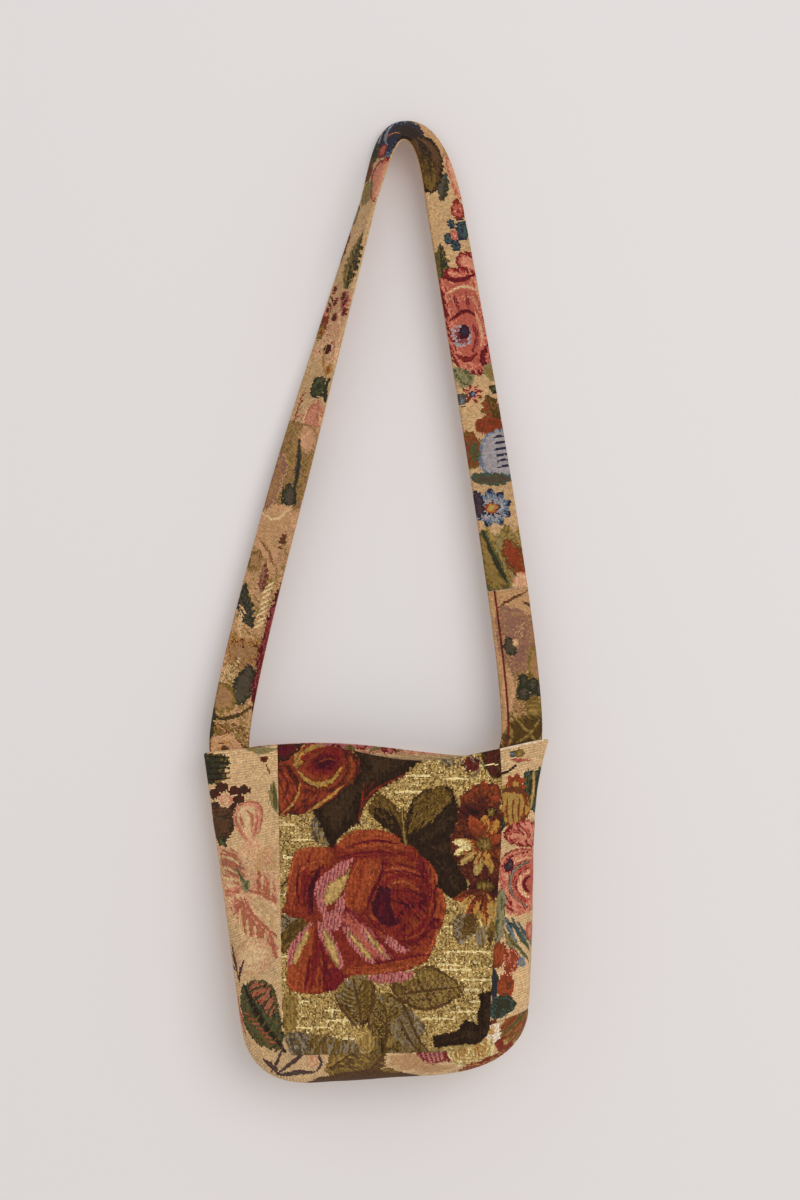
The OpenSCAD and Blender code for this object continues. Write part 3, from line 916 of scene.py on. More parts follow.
def draw_front(c):
    """Roses and leaves on a speckled gold ground."""
    c.gold_ground()
    for x, y, long in (
        (116, 52, 26), (164, 39, 24), (0, 85, 14), (12, 100, 22), (4, 118, 14), (165, 187, 16),
        (168, 212, 42), (158, 230, 33), (182, 240, 32), (172, 272, 26), (142, 279, 32), (158, 225, 20),
        (18, 262, 10), (46, 271, 16), (46, 281, 24), (17, 288, 34), (62, 299, 12), (0, 240, 12),
        (2, 217, 10), (120, 36, 30), (170, 250, 30), (190, 262, 18), (150, 262, 22),
    ):
        c.stroke([(x, y), (x + long / 2, y - 0.5), (x + long, y)], 1.9, gold_pale, blunt=0.9)

    # Dark field between the upper flower and the rose, with its reddish fringe
    c.area([(67, 2), (150, 12), (145, 19), (133, 26), (125, 34), (112, 41), (100, 46), (90, 54), (81, 68),
            (78, 84), (70, 88), (62, 94), (56, 106), (51, 112), (46, 100), (42, 90), (34, 74), (30, 66),
            (48, 54), (62, 42), (80, 33), (77, 18)], (bark, bark, bark_light), 14)
    c.stroke([(125, 34), (112, 41), (100, 46), (88, 56), (80, 70), (78, 84)], 5, (bark, maroon, brick), 30)
    c.stroke([(84, 42), (83, 56), (80, 74)], 3, (maroon, brick))
    c.stroke([(96, 40), (86, 52)], 3, maroon)

    # Upper flower
    c.area([(-6, 0), (20, 2), (56, 3), (72, 10), (80, 20), (81, 31), (75, 40), (66, 47), (54, 57), (40, 66),
            (22, 75), (8, 74), (-6, 76)], (maroon, brick, rust), 12, 120, 1.8)
    c.area([(-6, 0), (24, 2), (20, 12), (8, 20), (-6, 22)], (bark, maroon, wine), 8, 60, 1.4)
    c.area([(12, 24), (15, 11), (27, 4), (40, 6), (35, 15), (24, 22), (18, 30)],
           (rust, mustard, olive_light, mustard), 5, 140, 1.8)
    c.area([(20, 8), (36, 3), (58, 5), (66, 14), (63, 28), (52, 36), (34, 37), (22, 27)],
           (brick, crimson, brick), 10, 20, 1.3)
    c.area([(28, 20), (42, 12), (57, 15), (60, 25), (48, 32), (35, 32)], (crimson, wine, plum), 7, 150)
    c.stroke([(16, 24), (22, 13), (34, 6), (48, 5)], 6, (rust, amber, mustard), 140)
    c.stroke([(22, 30), (30, 18), (44, 10)], 4, (rust_brown, rust), 140)
    c.stroke([(36, 24), (46, 18), (56, 20)], 3, (maroon, rust), 150)
    c.stroke([(18, 31), (27, 42), (41, 45), (54, 40), (61, 28)], 8, (rust_brown, amber, mustard), 30)
    c.stroke([(22, 40), (33, 49), (48, 48)], 3, (maroon, rust_brown), 20)
    c.area([(64, 12), (77, 18), (80, 30), (74, 42), (64, 48), (60, 40), (68, 28)],
           (maroon, rust_brown, rust), 7, 110, 1.3)
    c.stroke([(70, 16), (75, 28), (68, 41)], 4, (rust, orange), 110)
    c.area([(22, 46), (36, 52), (54, 48), (68, 40), (63, 52), (48, 61), (30, 68), (20, 68), (24, 56)],
           (maroon, brick, rust), 9, 130, 1.8)
    c.stroke([(26, 73), (40, 64), (52, 55), (64, 45)], 5, (rust, amber, mustard), 150)
    c.area([(-6, 26), (8, 24), (17, 36), (22, 48), (14, 64), (4, 76), (-6, 74)],
           (maroon, brick, rust, orange), 12, 60, 1.8)
    c.stroke([(20, 44), (18, 57), (9, 68), (2, 74)], 4, (rust, amber, mustard), 70)
    c.stroke([(2, 32), (9, 46), (3, 60)], 4, (brick, maroon), 70)

    # Pair of leaves with a stem, and the dark leaf below them
    c.area([(138, 112), (152, 108), (168, 112), (176, 122), (186, 138), (189, 151), (180, 157), (167, 157),
            (156, 149), (152, 133), (146, 120)], (bark, bark, bark_light), 16, 60)
    c.area([(128, 100), (150, 102), (174, 92), (182, 104), (180, 126), (160, 118), (140, 116)],
           (bark, bark, bark_light), 12, 60)
    c.area([(89, 76), (90, 63), (95, 54), (100, 52), (108, 58), (118, 68), (122, 78), (124, 99), (117, 92),
            (106, 86), (96, 81)], (olive_dark, olive, olive_dark), 9, 60, 1.5)
    c.area([(92, 70), (100, 66), (112, 74), (121, 86), (124, 100), (116, 96), (104, 87), (96, 81)],
           (bark, bark, olive_dark), 9, 60, 1.4)
    c.area([(125, 108), (123, 90), (127, 71), (134, 58), (146, 49), (170, 45), (175, 54), (178, 68),
            (178, 83), (170, 95), (157, 105), (142, 111), (132, 110)],
           (bark, olive_dark, olive_dark, olive), 14, 125, 1.6)
    c.petal((128, 98), (164, 46), 26, (bark, olive_dark, olive, olive_dark), -0.04, 1.4)
    c.area([(128, 108), (134, 92), (150, 84), (168, 62), (178, 68), (178, 84), (168, 97), (152, 107),
            (138, 111)], (bark, bark, bark_light), 12, 125, 1.5)
    for k in range(7):
        c.stroke([(128 + 3 * k, 92 - 2 * k), (134 + 4.4 * k, 76 - 2 * k), (139 + 5 * k, 62 - 2 * k)],
                 2.4, (olive_dark, olive), 115)
    c.stroke([(122, 70), (123, 82), (125, 104)], 4, (olive_dark, olive_light), 90, blunt=0.8)

    # Cluster of small flowers at the right seam
    c.area([(168, 100), (176, 88), (178, 68), (186, 54), (202, 44), (222, 44), (222, 160), (198, 160),
            (188, 142), (176, 122)], (maroon, rust_brown, maroon), 14, 60, 1.7)
    c.area([(178, 62), (184, 52), (198, 44), (210, 43), (222, 48), (222, 62), (206, 66), (190, 68)],
           (maroon, rust_brown, rust), 8, 80, 1.4)
    for tip, wide in (((182, 56), 10), ((192, 45), 12), ((204, 40), 12), ((218, 44), 12), ((222, 58), 10)):
        c.petal((202, 64), tip, wide, (maroon, rust_brown, rust), 0, 1.2)
    c.area([(176, 66), (200, 62), (208, 76), (186, 82)], (maroon, plum, bark), 8, 40, 1.4)
    for tip, wide, yarns in (
        ((190, 76), 13, (rust_brown, rust, orange)), ((205, 74), 11, (rust_brown, orange, amber)),
        ((218, 80), 11, (rust_brown, orange, amber)), ((222, 96), 10, (rust_brown, rust, orange)),
        ((172, 102), 8, (rust, amber, gold, gold_pale)), ((173, 114), 9, (rust, mustard, gold_pale)),
        ((180, 125), 8, (rust, mustard, gold)), ((195, 136), 10, (rust, mustard, gold)),
        ((212, 134), 8, (rust_brown, amber, mustard)), ((222, 116), 10, (maroon, rust_brown, orange)),
    ):
        c.petal((204, 104), tip, wide, yarns, 0, 1.3, 1.4)
    c.disc(204, 104, 8, 7, (olive_dark, olive, olive_light), 1.2)
    c.disc(211, 72, 6, 5, (bark, olive, olive_light))
    c.area([(190, 142), (206, 136), (222, 140), (222, 158), (200, 160), (186, 154)],
           (maroon, plum, bark), 8, 60, 1.4)
    c.disc(205, 146, 9, 6, (olive_dark, olive, olive_light), 1.2)
    for tip, yarns in (
        ((174, 160), (maroon, rust_brown, orange)), ((178, 170), (rust_brown, amber, gold)),
        ((186, 178), (maroon, rust, orange)), ((194, 184), (rust_brown, amber, mustard)),
        ((206, 186), (maroon, rust, amber)), ((216, 182), (rust_brown, amber, mustard)),
    ):
        c.petal((206, 150), tip, 11, yarns, 0, 1.3, 1.2)
    c.hatch([(172, 176), (184, 172), (194, 174), (196, 190), (186, 202), (174, 204)],
            (slate, olive_dark, olive, slate), 60)
    c.hatch([(184, 176), (196, 172), (198, 188), (184, 202), (180, 192)], (olive_dark, olive, umber), 120)
    c.hatch([(196, 186), (206, 184), (207, 204), (198, 209), (194, 198)], (slate, slate, olive), 80)
    c.petal((212, 180), (210, 206), 8, (olive, olive_dark))

    # Leaves on the ground left of the rose
    c.hatch([(-4, 176), (14, 174), (34, 178), (28, 188), (12, 194), (-4, 198)],
            (slate, bark, olive, slate), 30)
    c.area([(2, 188), (18, 178), (36, 179), (30, 188), (18, 197), (4, 214), (-2, 210)],
           (olive_dark, olive, olive_dark), 6, 140, 1.5)
    c.hatch([(31, 80), (38, 78), (42, 92), (50, 104), (44, 108), (36, 100), (30, 96)],
            (slate, gold_dark, slate_dark), 80)
    c.stroke([(2, 146), (14, 134), (24, 122)], 4, (bark, olive_dark, olive), 130)

    # The large rose: a warm base, then its petals from the outside in
    c.area([(0, 174), (6, 163), (8, 146), (10, 130), (14, 112), (28, 107), (46, 108), (56, 105), (62, 98),
            (72, 92), (88, 90), (104, 90), (114, 95), (128, 102), (136, 110), (148, 120), (155, 136),
            (162, 150), (166, 172), (162, 184), (155, 196), (152, 208), (149, 220), (122, 231), (104, 234),
            (84, 234), (66, 238), (48, 254), (12, 253), (6, 244), (8, 220), (16, 198), (32, 181)],
           (brick, rust, brick), 20, 90, 1.5)
    c.area([(14, 111), (27, 107), (46, 108), (54, 113), (47, 124), (40, 138), (35, 155), (34, 177),
            (20, 173), (0, 174), (6, 163), (8, 148), (10, 130)],
           (orange, orange, rust, brick), 0, 90, 1.3, toward=60)
    c.area([(48, 120), (40, 138), (35, 156), (36, 178), (28, 173), (25, 152), (31, 133)],
           (brick, wine, plum), 5, 90, 1.2)
    c.stroke([(19, 116), (15, 140), (19, 166)], 5, (rust, orange), 90, 1.5)
    c.stroke([(31, 112), (24, 134), (22, 160)], 5, (brick, crimson), 90, 1.5)
    c.area([(32, 181), (15, 198), (8, 220), (6, 245), (12, 253), (47, 254), (64, 241), (68, 231), (48, 215),
            (38, 193)], (orange, orange, rust, brick, crimson), 0, 85, 1.4, toward=5)
    for points, wide, yarns in (
        ([(36, 190), (37, 214), (31, 248)], 8, (brick, crimson)),
        ([(41, 204), (46, 226), (44, 250)], 6, (crimson, wine)),
        ([(24, 212), (21, 232), (20, 250)], 5, (orange, rust)),
        ([(28, 222), (26, 250)], 3, (crimson, brick)),
    ):
        c.stroke(points, wide, yarns, 90, 1.4)
    c.area([(49, 226), (66, 231), (67, 240), (53, 252), (43, 251), (46, 240)],
           (crimson, wine, crimson), 6, 90, 1.2)
    c.area([(34, 181), (20, 191), (10, 205), (6, 223), (11, 228), (15, 215), (21, 201), (28, 190)],
           pink_yarns, 5, 90, 0.8, stripe=3.4)
    c.area([(28, 189), (20, 200), (12, 219), (14, 227), (20, 218), (25, 206), (29, 195)],
           (olive_light, pith, pith), 3, 100)

    c.area([(56, 106), (62, 98), (70, 93), (78, 90), (88, 90), (103, 90), (113, 94), (116, 98), (128, 102),
            (136, 109), (134, 114), (122, 114), (107, 116), (92, 115), (77, 116), (67, 119), (56, 118)],
           (orange, orange, rust, brick), 0, 20, 1.3, toward=90)
    c.stroke([(62, 106), (84, 97), (104, 99), (128, 107)], 5, (rust, orange), 10, 1.4)
    c.stroke([(58, 112), (84, 107), (112, 109)], 4, (brick, rust), 10, 1.4)
    c.stroke([(56, 118), (76, 118), (98, 116), (124, 114), (138, 118)], 5, (brick, wine, crimson), 10, 1.2)

    c.area([(58, 119), (68, 119), (92, 115), (122, 114), (138, 116), (148, 121), (154, 129), (155, 139),
            (161, 149), (163, 161), (166, 173), (162, 184), (156, 194), (154, 204), (147, 211), (132, 213),
            (120, 214), (105, 200), (82, 178), (62, 174), (64, 148)],
           (brick, crimson, brick, rust), 18, 100, 2)
    for points, wide, yarns in (
        ([(84, 122), (104, 117), (128, 118), (147, 130)], 8, (crimson, brick, rust)),
        ([(92, 130), (112, 124), (134, 128), (148, 142)], 7, (wine, crimson, crimson)),
        ([(100, 136), (118, 131), (136, 137), (146, 152)], 7, (brick, rust, orange)),
        ([(150, 136), (154, 148), (150, 160)], 7, (crimson, wine)),
        ([(154, 150), (161, 164), (158, 182)], 9, (rust, orange, rust)),
        ([(148, 160), (151, 174), (144, 190)], 7, (crimson, brick, rust)),
        ([(156, 188), (148, 202), (130, 210)], 8, (brick, rust, orange)),
        ([(146, 192), (132, 202), (116, 203)], 7, (crimson, wine, crimson)),
        ([(140, 194), (124, 197), (112, 190)], 6, (rust, orange, rust)),
    ):
        c.stroke(points, wide, yarns, 100, 1.6)
    for points, yarns, angle, toward in (
        ([(82, 127), (100, 117), (124, 115), (144, 121), (155, 134), (148, 143), (130, 132), (110, 132),
          (92, 143)], (rust, brick, crimson, wine), 20, 90),
        ([(141, 122), (153, 130), (159, 147), (166, 166), (161, 184), (151, 187), (151, 166), (147, 148),
          (138, 134)], (wine, crimson, rust, orange), 100, 0),
        ([(162, 178), (157, 195), (148, 211), (128, 214), (112, 206), (132, 201), (146, 190), (152, 178)],
         (wine, brick, rust), 40, 60),
        ([(96, 147), (112, 133), (130, 132), (145, 144), (151, 163), (149, 181), (138, 195), (120, 199),
          (104, 190)], (crimson, brick, crimson), 90, 30),
        ([(102, 149), (113, 138), (128, 137), (142, 147), (148, 163), (139, 161), (128, 149), (113, 151)],
         (rust, brick, wine), 30, 90),
        ([(148, 157), (146, 178), (132, 193), (112, 194), (124, 185), (135, 174), (139, 160)],
         (wine, crimson, rust), 50, 45),
        ([(108, 157), (119, 150), (132, 156), (136, 170), (128, 166), (116, 162)],
         (brick, crimson, plum), 30, 80),
        ([(132, 164), (131, 177), (121, 186), (110, 184), (118, 176), (124, 166)],
         (plum, crimson, brick), 60, 40),
    ):
        c.area(points, yarns, 0, angle, 1.7, toward=toward)
    c.area([(101, 146), (111, 148), (110, 160), (112, 172), (117, 184), (106, 188), (96, 180), (91, 169),
            (94, 156)], (plum, plum, wine), 9, 90, 1)
    c.area([(75, 121), (92, 116), (103, 124), (100, 139), (92, 153), (87, 168), (77, 174), (67, 168),
            (63, 153), (69, 138)], (rust, orange, rust, orange), 9, 90, 1.6)
    c.stroke([(103, 124), (100, 139), (91, 155), (87, 170)], 5, (crimson, wine), 90, 1.2)
    c.stroke([(84, 122), (80, 142), (72, 164)], 4, (brick, rust), 95, 1.5)
    c.area([(80, 176), (90, 168), (99, 181), (110, 193), (122, 205), (130, 213), (116, 213), (103, 201),
            (91, 189)], (brick, rust, orange), 6, 50, 1.4)
    c.stroke([(84, 172), (95, 184), (108, 197)], 4, (wine, crimson), 50)

    # Striped petals that curl forward on the rose's left, each with a gold inside
    c.area([(56, 172), (66, 166), (82, 178), (96, 192), (112, 212), (120, 222), (96, 226), (78, 214),
            (64, 196)], (crimson, mauve, coral), 8, 50, 1.5)
    for points in (
        [(76, 116), (62, 121), (47, 131), (37, 140), (34, 150), (36, 164), (41, 177), (49, 188), (54, 180),
         (48, 170), (46, 158), (50, 146), (61, 137), (69, 128)],
        [(69, 140), (63, 153), (55, 166), (48, 174), (50, 189), (57, 192), (63, 176), (66, 160)],
        [(37, 180), (39, 196), (47, 211), (57, 226), (66, 234), (62, 222), (58, 206), (52, 192), (45, 184)],
        [(62, 187), (66, 199), (76, 212), (87, 222), (97, 226), (92, 215), (82, 203), (73, 192), (67, 185)],
        [(80, 184), (92, 196), (104, 211), (113, 222), (104, 220), (91, 207), (80, 194)],
        [(104, 195), (113, 198), (121, 205), (132, 211), (120, 213), (112, 209), (106, 203)],
        [(86, 234), (134, 230), (132, 240), (120, 243), (87, 243)],
    ):
        c.area(points, pink_yarns, 5, 90, 0.8, stripe=3.4)
    for points in (
        [(72, 121), (67, 134), (57, 138), (47, 146), (44, 158), (46, 166), (55, 163), (63, 151), (68, 138)],
        [(43, 186), (51, 198), (57, 208), (59, 221), (61, 229), (53, 221), (47, 208), (43, 197)],
        [(67, 188), (75, 197), (83, 205), (91, 216), (95, 223), (83, 214), (73, 202)],
        [(84, 187), (93, 197), (103, 211), (110, 220), (101, 214), (90, 202)],
    ):
        c.area(points, (olive_light, pith, pith), 4, 60, 1.1)
    c.area([(57, 230), (78, 226), (98, 223), (122, 217), (148, 214), (150, 219), (138, 226), (122, 231),
            (102, 234), (82, 234), (67, 235)], (brick, orange, rust), 5, 5, 1.4)
    c.stroke([(96, 224), (118, 219), (148, 214)], 3, (wine, crimson), 0)

    # Light rims of the rose's petals, and the dark lines between its outer lobes
    for points in (
        [(62, 101), (76, 94), (92, 93), (106, 94), (128, 104)],
        [(12, 120), (20, 112), (34, 109), (48, 111)], [(8, 152), (11, 132), (14, 118)],
        [(150, 124), (156, 136), (161, 150), (165, 170), (162, 182)], [(157, 190), (152, 206), (146, 214)],
        [(70, 236), (96, 232), (122, 228), (148, 218)], [(9, 222), (8, 242), (14, 251)],
        [(24, 206), (19, 224), (18, 244)], [(77, 124), (70, 140), (65, 154), (68, 168)],
        [(96, 124), (92, 138), (86, 152)], [(104, 130), (122, 127), (140, 134)],
        [(112, 143), (126, 141), (138, 150)],
        [(10, 168), (15, 150), (19, 133), (26, 124), (40, 121), (50, 117)],
        [(68, 111), (86, 106), (104, 104), (124, 108)],
    ):
        c.stroke(points, 4, (rust, flame, orange), 100, 2)
    for points in (
        [(138, 117), (146, 128), (147, 140)], [(153, 150), (156, 164), (152, 178)],
        [(150, 190), (140, 200), (124, 204)], [(64, 116), (84, 112), (110, 112)],
        [(20, 126), (16, 146), (20, 166)], [(30, 216), (28, 236), (24, 250)],
        [(23, 168), (25, 148), (29, 134), (38, 129)], [(66, 108), (82, 102), (100, 100), (120, 104)],
    ):
        c.stroke(points, 3, (crimson, wine), 90, 1.2)

    # Steps between the rose's upper right lobes, where the dark leaf shows
    for points in (
        [(117, 92), (121, 98), (121, 103), (139, 108), (141, 116), (150, 121), (162, 118), (142, 100),
         (126, 92)],
        [(155, 126), (160, 135), (156, 146), (163, 151), (172, 150), (168, 132)],
    ):
        c.area(points, (bark, bark, bark_light), 12, 60, edge=1.5, sharp=True)
    c.stroke([(123, 84), (124, 94), (126, 105)], 4, (olive_dark, olive_light), 90, blunt=0.8)

    # Leaves along the foot, hatched in slate and olive, and the stepped dark shape
    c.hatch([(54, 254), (64, 242), (76, 234), (92, 238), (95, 256), (90, 276), (78, 288), (66, 276)],
            (slate, olive, olive_dark, slate, olive_light), 105)
    c.area([(84, 236), (94, 242), (94, 262), (84, 282), (82, 262)], (olive, olive_dark, olive), 5, 100, 1.6)
    c.stroke([(92, 250), (92, 266), (82, 288)], 4, (bark, olive_dark), 100, 1.4)
    c.hatch([(112, 246), (122, 241), (135, 239), (137, 228), (148, 225), (158, 231), (172, 241), (186, 247),
             (176, 259), (160, 267), (140, 270), (124, 262)],
            (olive, olive_light, olive_dark, olive, olive_light), 60)
    c.area([(108, 244), (122, 242), (132, 264), (120, 264)], (olive_dark, umber, olive), 6, 90, 1.6)
    c.stroke([(128, 254), (158, 247), (186, 247)], 2.4, (olive_light, slate), 0)
    c.stroke([(136, 232), (140, 246), (150, 262)], 2, (bark, olive_dark), 60)
    c.hatch([(92, 254), (108, 252), (124, 264), (130, 282), (138, 300), (152, 316), (92, 318), (88, 296),
             (90, 276)], (olive, slate, olive_light, olive_dark, olive), 75)
    c.hatch([(122, 268), (136, 272), (146, 290), (138, 300), (128, 286)], (slate, olive, slate_dark), 40)
    c.area([(98, 286), (116, 284), (122, 300), (110, 312), (98, 306)],
           (olive_dark, olive, olive_light), 6, 70, 1.7)
    c.stroke([(96, 268), (104, 290), (101, 316)], 4, (bark, olive_dark), 90, 1.4)
    c.stroke([(118, 276), (127, 297), (142, 316)], 3, (bark, slate_dark), 70, 1.4)
    for base, tip, wide, yarns in (
        ((82, 288), (73, 238), 34, (olive, olive_dark)), ((116, 257), (184, 248), 30, (umber, olive_light)),
        ((104, 304), (108, 256), 30, (olive_light, olive_dark)),
        ((134, 314), (118, 266), 28, (slate, olive)), ((40, 316), (36, 296), 40, (olive_dark, olive)),
    ):
        c.feather(base, tip, wide, yarns, 8)
    for points in (
        [(54, 254), (62, 270), (79, 290)], [(94, 244), (95, 262), (88, 280)],
        [(74, 240), (79, 264), (82, 286)], [(110, 246), (122, 261), (140, 270), (162, 267), (182, 252)],
        [(122, 254), (150, 250), (182, 247)], [(137, 231), (148, 225), (160, 231), (178, 243)],
        [(91, 262), (88, 290), (92, 316)], [(108, 253), (124, 264), (132, 284), (140, 302), (152, 316)],
        [(104, 264), (108, 288), (103, 316)], [(118, 276), (128, 298), (142, 316)],
        [(96, 276), (104, 282), (112, 296)],
    ):
        c.stroke(points, 3, (olive_dark, umber), 70, 1.4)
    c.area([(80, 288), (86, 284), (95, 298), (94, 310), (84, 312), (77, 302)],
           (gold_dark, gold, gold_dark), 5, 90, 1.8)
    c.area([(3, 256), (16, 255), (18, 278), (14, 292), (4, 293), (1, 276)],
           (olive_light, olive, olive_light), 6, 95, 1.6)
    c.hatch([(-2, 294), (20, 291), (60, 300), (74, 299), (84, 318), (-2, 320)],
            (olive, olive_dark, olive, slate), 95)
    c.hatch([(2, 294), (24, 292), (30, 300), (27, 314), (4, 316)],
            (slate, slate_dark, olive, slate_dark), 70)
    stepped = [(198, 254), (224, 248), (224, 306), (186, 304), (154, 308), (152, 296), (178, 291),
               (185, 279), (191, 282), (198, 285), (197, 273), (201, 264)]
    c.area(stepped, (bark, bark, bark_light), 12, 90, 1, 1.5, sharp=True)

    # Top edge at the right
    c.hatch([(160, 14), (176, 16), (174, 26), (162, 26)], (slate, gold_dark, slate_dark), 45)
    c.area([(200, 4), (224, 2), (224, 36), (212, 40), (202, 24)], (olive_dark, bark, maroon), 8, 60, 1.6)
    c.disc(191, 24, 8, 8, (maroon, crimson, maroon), 1.4)
    c.stroke([(184, 30), (194, 38), (202, 26)], 3, (slate, olive), 45)
    c.stroke([(201, 26), (209, 25), (218, 24)], 1.6, gold_pale, 0, blunt=0.9)
    for x, y in ((160, 16), (168, 12), (178, 14), (188, 10), (197, 14)):
        c.stroke([(x, y), (x + 3, y + 8), (x + 9, y + 14)], 1.8, (slate, slate_dark), 60)


def draw_gusset(c):
    """Small mixed flowers on a ribbed cream ground, all round the sides and foot."""
    c.cream_ground(cream, cream_rib)

    # Left side: a leaf, a dark sprig and a pale bud below the mouth
    c.area([(-92, 13), (-66, 13), (-52, 16), (-50, 24), (-56, 30), (-52, 38), (-62, 44), (-92, 46)],
           (leaf_dark, olive, leaf_dark), 7, 0, 2.4)
    for k in range(5):
        c.stroke([(-90, 17 + 6 * k), (-70, 16 + 6 * k), (-50, 18 + 5 * k)], 3, (leaf_dark, bark), 0, 1.4)
    c.stroke([(-36, 8), (-18, 12), (-4, 8)], 6, (sage, olive_light, sage), 0)
    c.disc(-16, 19, 4, 3, (rust_brown, maroon))
    c.stroke([(-14, 24), (-10, 34)], 2, (rust, maroon))
    c.area([(-10, 42), (-2, 44), (0, 76), (-8, 68), (-12, 56)], (sage, olive_light, leaf_green), 4, 90, 1.6)
    for dx, dy in ((-12, -6), (-4, -13), (8, -9), (13, -1), (9, 8), (0, 12), (-11, 7), (18, -10)):
        c.disc(-54 + dx, 60 + dy, 6, 5, (maroon, leaf_dark, maroon), 1.6)
    c.disc(-54, 60, 7, 6, (salmon, cream, peach), 1.2)
    c.area([(-72, 68), (-54, 66), (-46, 72), (-45, 86), (-50, 98), (-60, 106), (-70, 96)],
           (umber, maroon, leaf_dark, umber), 8, 0, 2.2)
    c.area([(-64, 96), (-54, 98), (-52, 106), (-62, 110)], (leaf_dark, leaf_green), 4, 30, 1.6)
    c.area([(-46, 70), (-38, 62), (-22, 62), (-17, 74), (-22, 92), (-28, 104), (-38, 96), (-46, 84)],
           (salmon, peach, cream), 7, 70, 1.6)
    for points in (
        [(-42, 66), (-30, 61), (-20, 64), (-17, 76), (-22, 94)],
        [(-44, 72), (-44, 84), (-36, 96), (-30, 104)], [(-34, 70), (-27, 76), (-28, 92)],
        [(-40, 76), (-36, 88)], [(-24, 70), (-22, 82), (-28, 100)],
    ):
        c.stroke(points, 4, (salmon, terracotta), 70, 1.6)

    # Pale flower with feathered petals round a green heart
    heart = (-34, 146)
    for tip, wide in (
        ((-64, 106), 26), ((-26, 96), 30), ((-6, 112), 28), ((4, 146), 26), ((-4, 184), 28),
        ((-22, 206), 28), ((-58, 178), 24), ((-74, 146), 20),
    ):
        c.petal(heart, tip, wide, (peach, cream, peach), 0, 1.3)
    for points, yarns, angle in (
        ([(-62, 112), (-50, 108), (-38, 116), (-34, 134), (-36, 146), (-48, 142), (-58, 132)],
         (peach, terracotta, mauve_brown, terracotta), 28),
        ([(-58, 150), (-46, 146), (-36, 148), (-44, 156), (-56, 158)], (salmon, terracotta), 10),
        ([(-24, 112), (-12, 104), (-2, 110), (-2, 132), (-14, 128), (-24, 134)],
         (cream_rib, peach, pith, peach), 60),
        ([(-30, 146), (-22, 130), (-12, 132), (-4, 148), (-2, 164), (-14, 158), (-28, 152)],
         (peach, salmon, terracotta), 65),
        ([(-52, 164), (-42, 156), (-32, 162), (-22, 180), (-8, 194), (-2, 204), (-4, 222), (-14, 210),
          (-26, 212), (-32, 196), (-42, 182)], (peach, terracotta, salmon, terracotta), 62),
        ([(-30, 160), (-18, 156), (-6, 166), (-2, 186), (-6, 192), (-18, 180)],
         (cream_rib, cream, cream_rib), 0),
    ):
        c.area(points, yarns, 7, angle, 2.6)
    for points, wide in (
        ([(-42, 138), (-50, 130), (-60, 124)], 2.4), ([(-40, 130), (-46, 120), (-56, 113)], 2.4),
        ([(-40, 144), (-50, 138), (-59, 134)], 2.4), ([(-32, 150), (-18, 154), (-4, 163)], 4),
        ([(-22, 150), (-20, 140), (-22, 132)], 2.4), ([(-14, 154), (-12, 144), (-14, 136)], 2.4),
        ([(-36, 158), (-28, 174), (-14, 188), (-3, 196)], 4), ([(-40, 160), (-43, 172), (-50, 176)], 2.4),
        ([(-36, 164), (-37, 182), (-34, 194)], 3), ([(-30, 174), (-29, 192), (-27, 208)], 3),
        ([(-22, 182), (-20, 198), (-18, 208)], 3), ([(-10, 192), (-7, 206), (-4, 218)], 4),
    ):
        c.stroke(points, wide, (terracotta, coral, terracotta), 70, 1.8)
    for points in (
        [(-42, 134), (-52, 128), (-62, 128)], [(-40, 125), (-48, 118), (-58, 117)],
        [(-42, 141), (-52, 138), (-60, 139)], [(-18, 149), (-17, 138), (-18, 130)],
        [(-9, 155), (-8, 146), (-9, 136)], [(-40, 170), (-41, 180), (-40, 190)],
        [(-33, 178), (-32, 192), (-30, 206)], [(-25, 186), (-24, 200), (-22, 214)],
        [(-15, 194), (-14, 204), (-11, 216)],
    ):
        c.stroke(points, 2.8, (cream_rib, cream), 70, 1.2, 0.5)
    c.stroke([(-44, 128), (-36, 142), (-30, 152)], 4, (sage, leaf_green), 60)
    c.disc(*heart, 5, 6, (sage, leaf_green), 1.2)
    c.area([(-50, 214), (-34, 196), (-10, 200), (-6, 224), (-22, 236), (-42, 232)],
           (cream_rib, peach, cream), 9, 0, 1.8)

    # Twig, and the large leaf at the left foot corner
    for points in (
        [(-50, 206), (-46, 222), (-42, 240)], [(-36, 220), (-40, 232), (-42, 246)],
        [(-46, 226), (-52, 214)], [(-44, 232), (-54, 228)],
    ):
        c.stroke(points, 3, twig_plum)
    c.area([(-40, 250), (-32, 242), (-22, 238), (-10, 242), (-3, 254), (0, 272), (5, 308), (-14, 310),
            (-32, 294), (-42, 272)], (leaf_green, leaf_dark, olive, leaf_green), 9, 60, 2.2)
    c.area([(-34, 246), (-24, 240), (-10, 246), (-4, 264), (-6, 280), (-20, 268)],
           (leaf_dark, terracotta, rust, terracotta), 5, 120, 2.4)
    c.stroke([(-36, 246), (-24, 272), (-8, 296), (6, 312)], 8, (leaf_dark, leaf_dark, bark), 60, 1.4)
    for k in range(7):
        c.stroke([(-33 + 5.6 * k, 254 + 8 * k), (-24 + 5 * k, 249 + 7 * k), (-16 + 2.8 * k, 245 + 6 * k)],
                 3, (leaf_dark, leaf_green), 120)
        c.stroke([(-31 + 5.6 * k, 258 + 8 * k), (-36 + 5 * k, 270 + 7 * k)], 2.4, (leaf_dark, olive), 60)
        c.stroke([(-36 + 4 * k, 274 + 4.6 * k), (-28 + 4 * k, 275 + 4.6 * k)], 2.6, (rust, terracotta), 0)
    c.stroke([(-46, 258), (-43, 280), (-36, 296)], 5, (coral, salmon, coral), 80, 1.4)

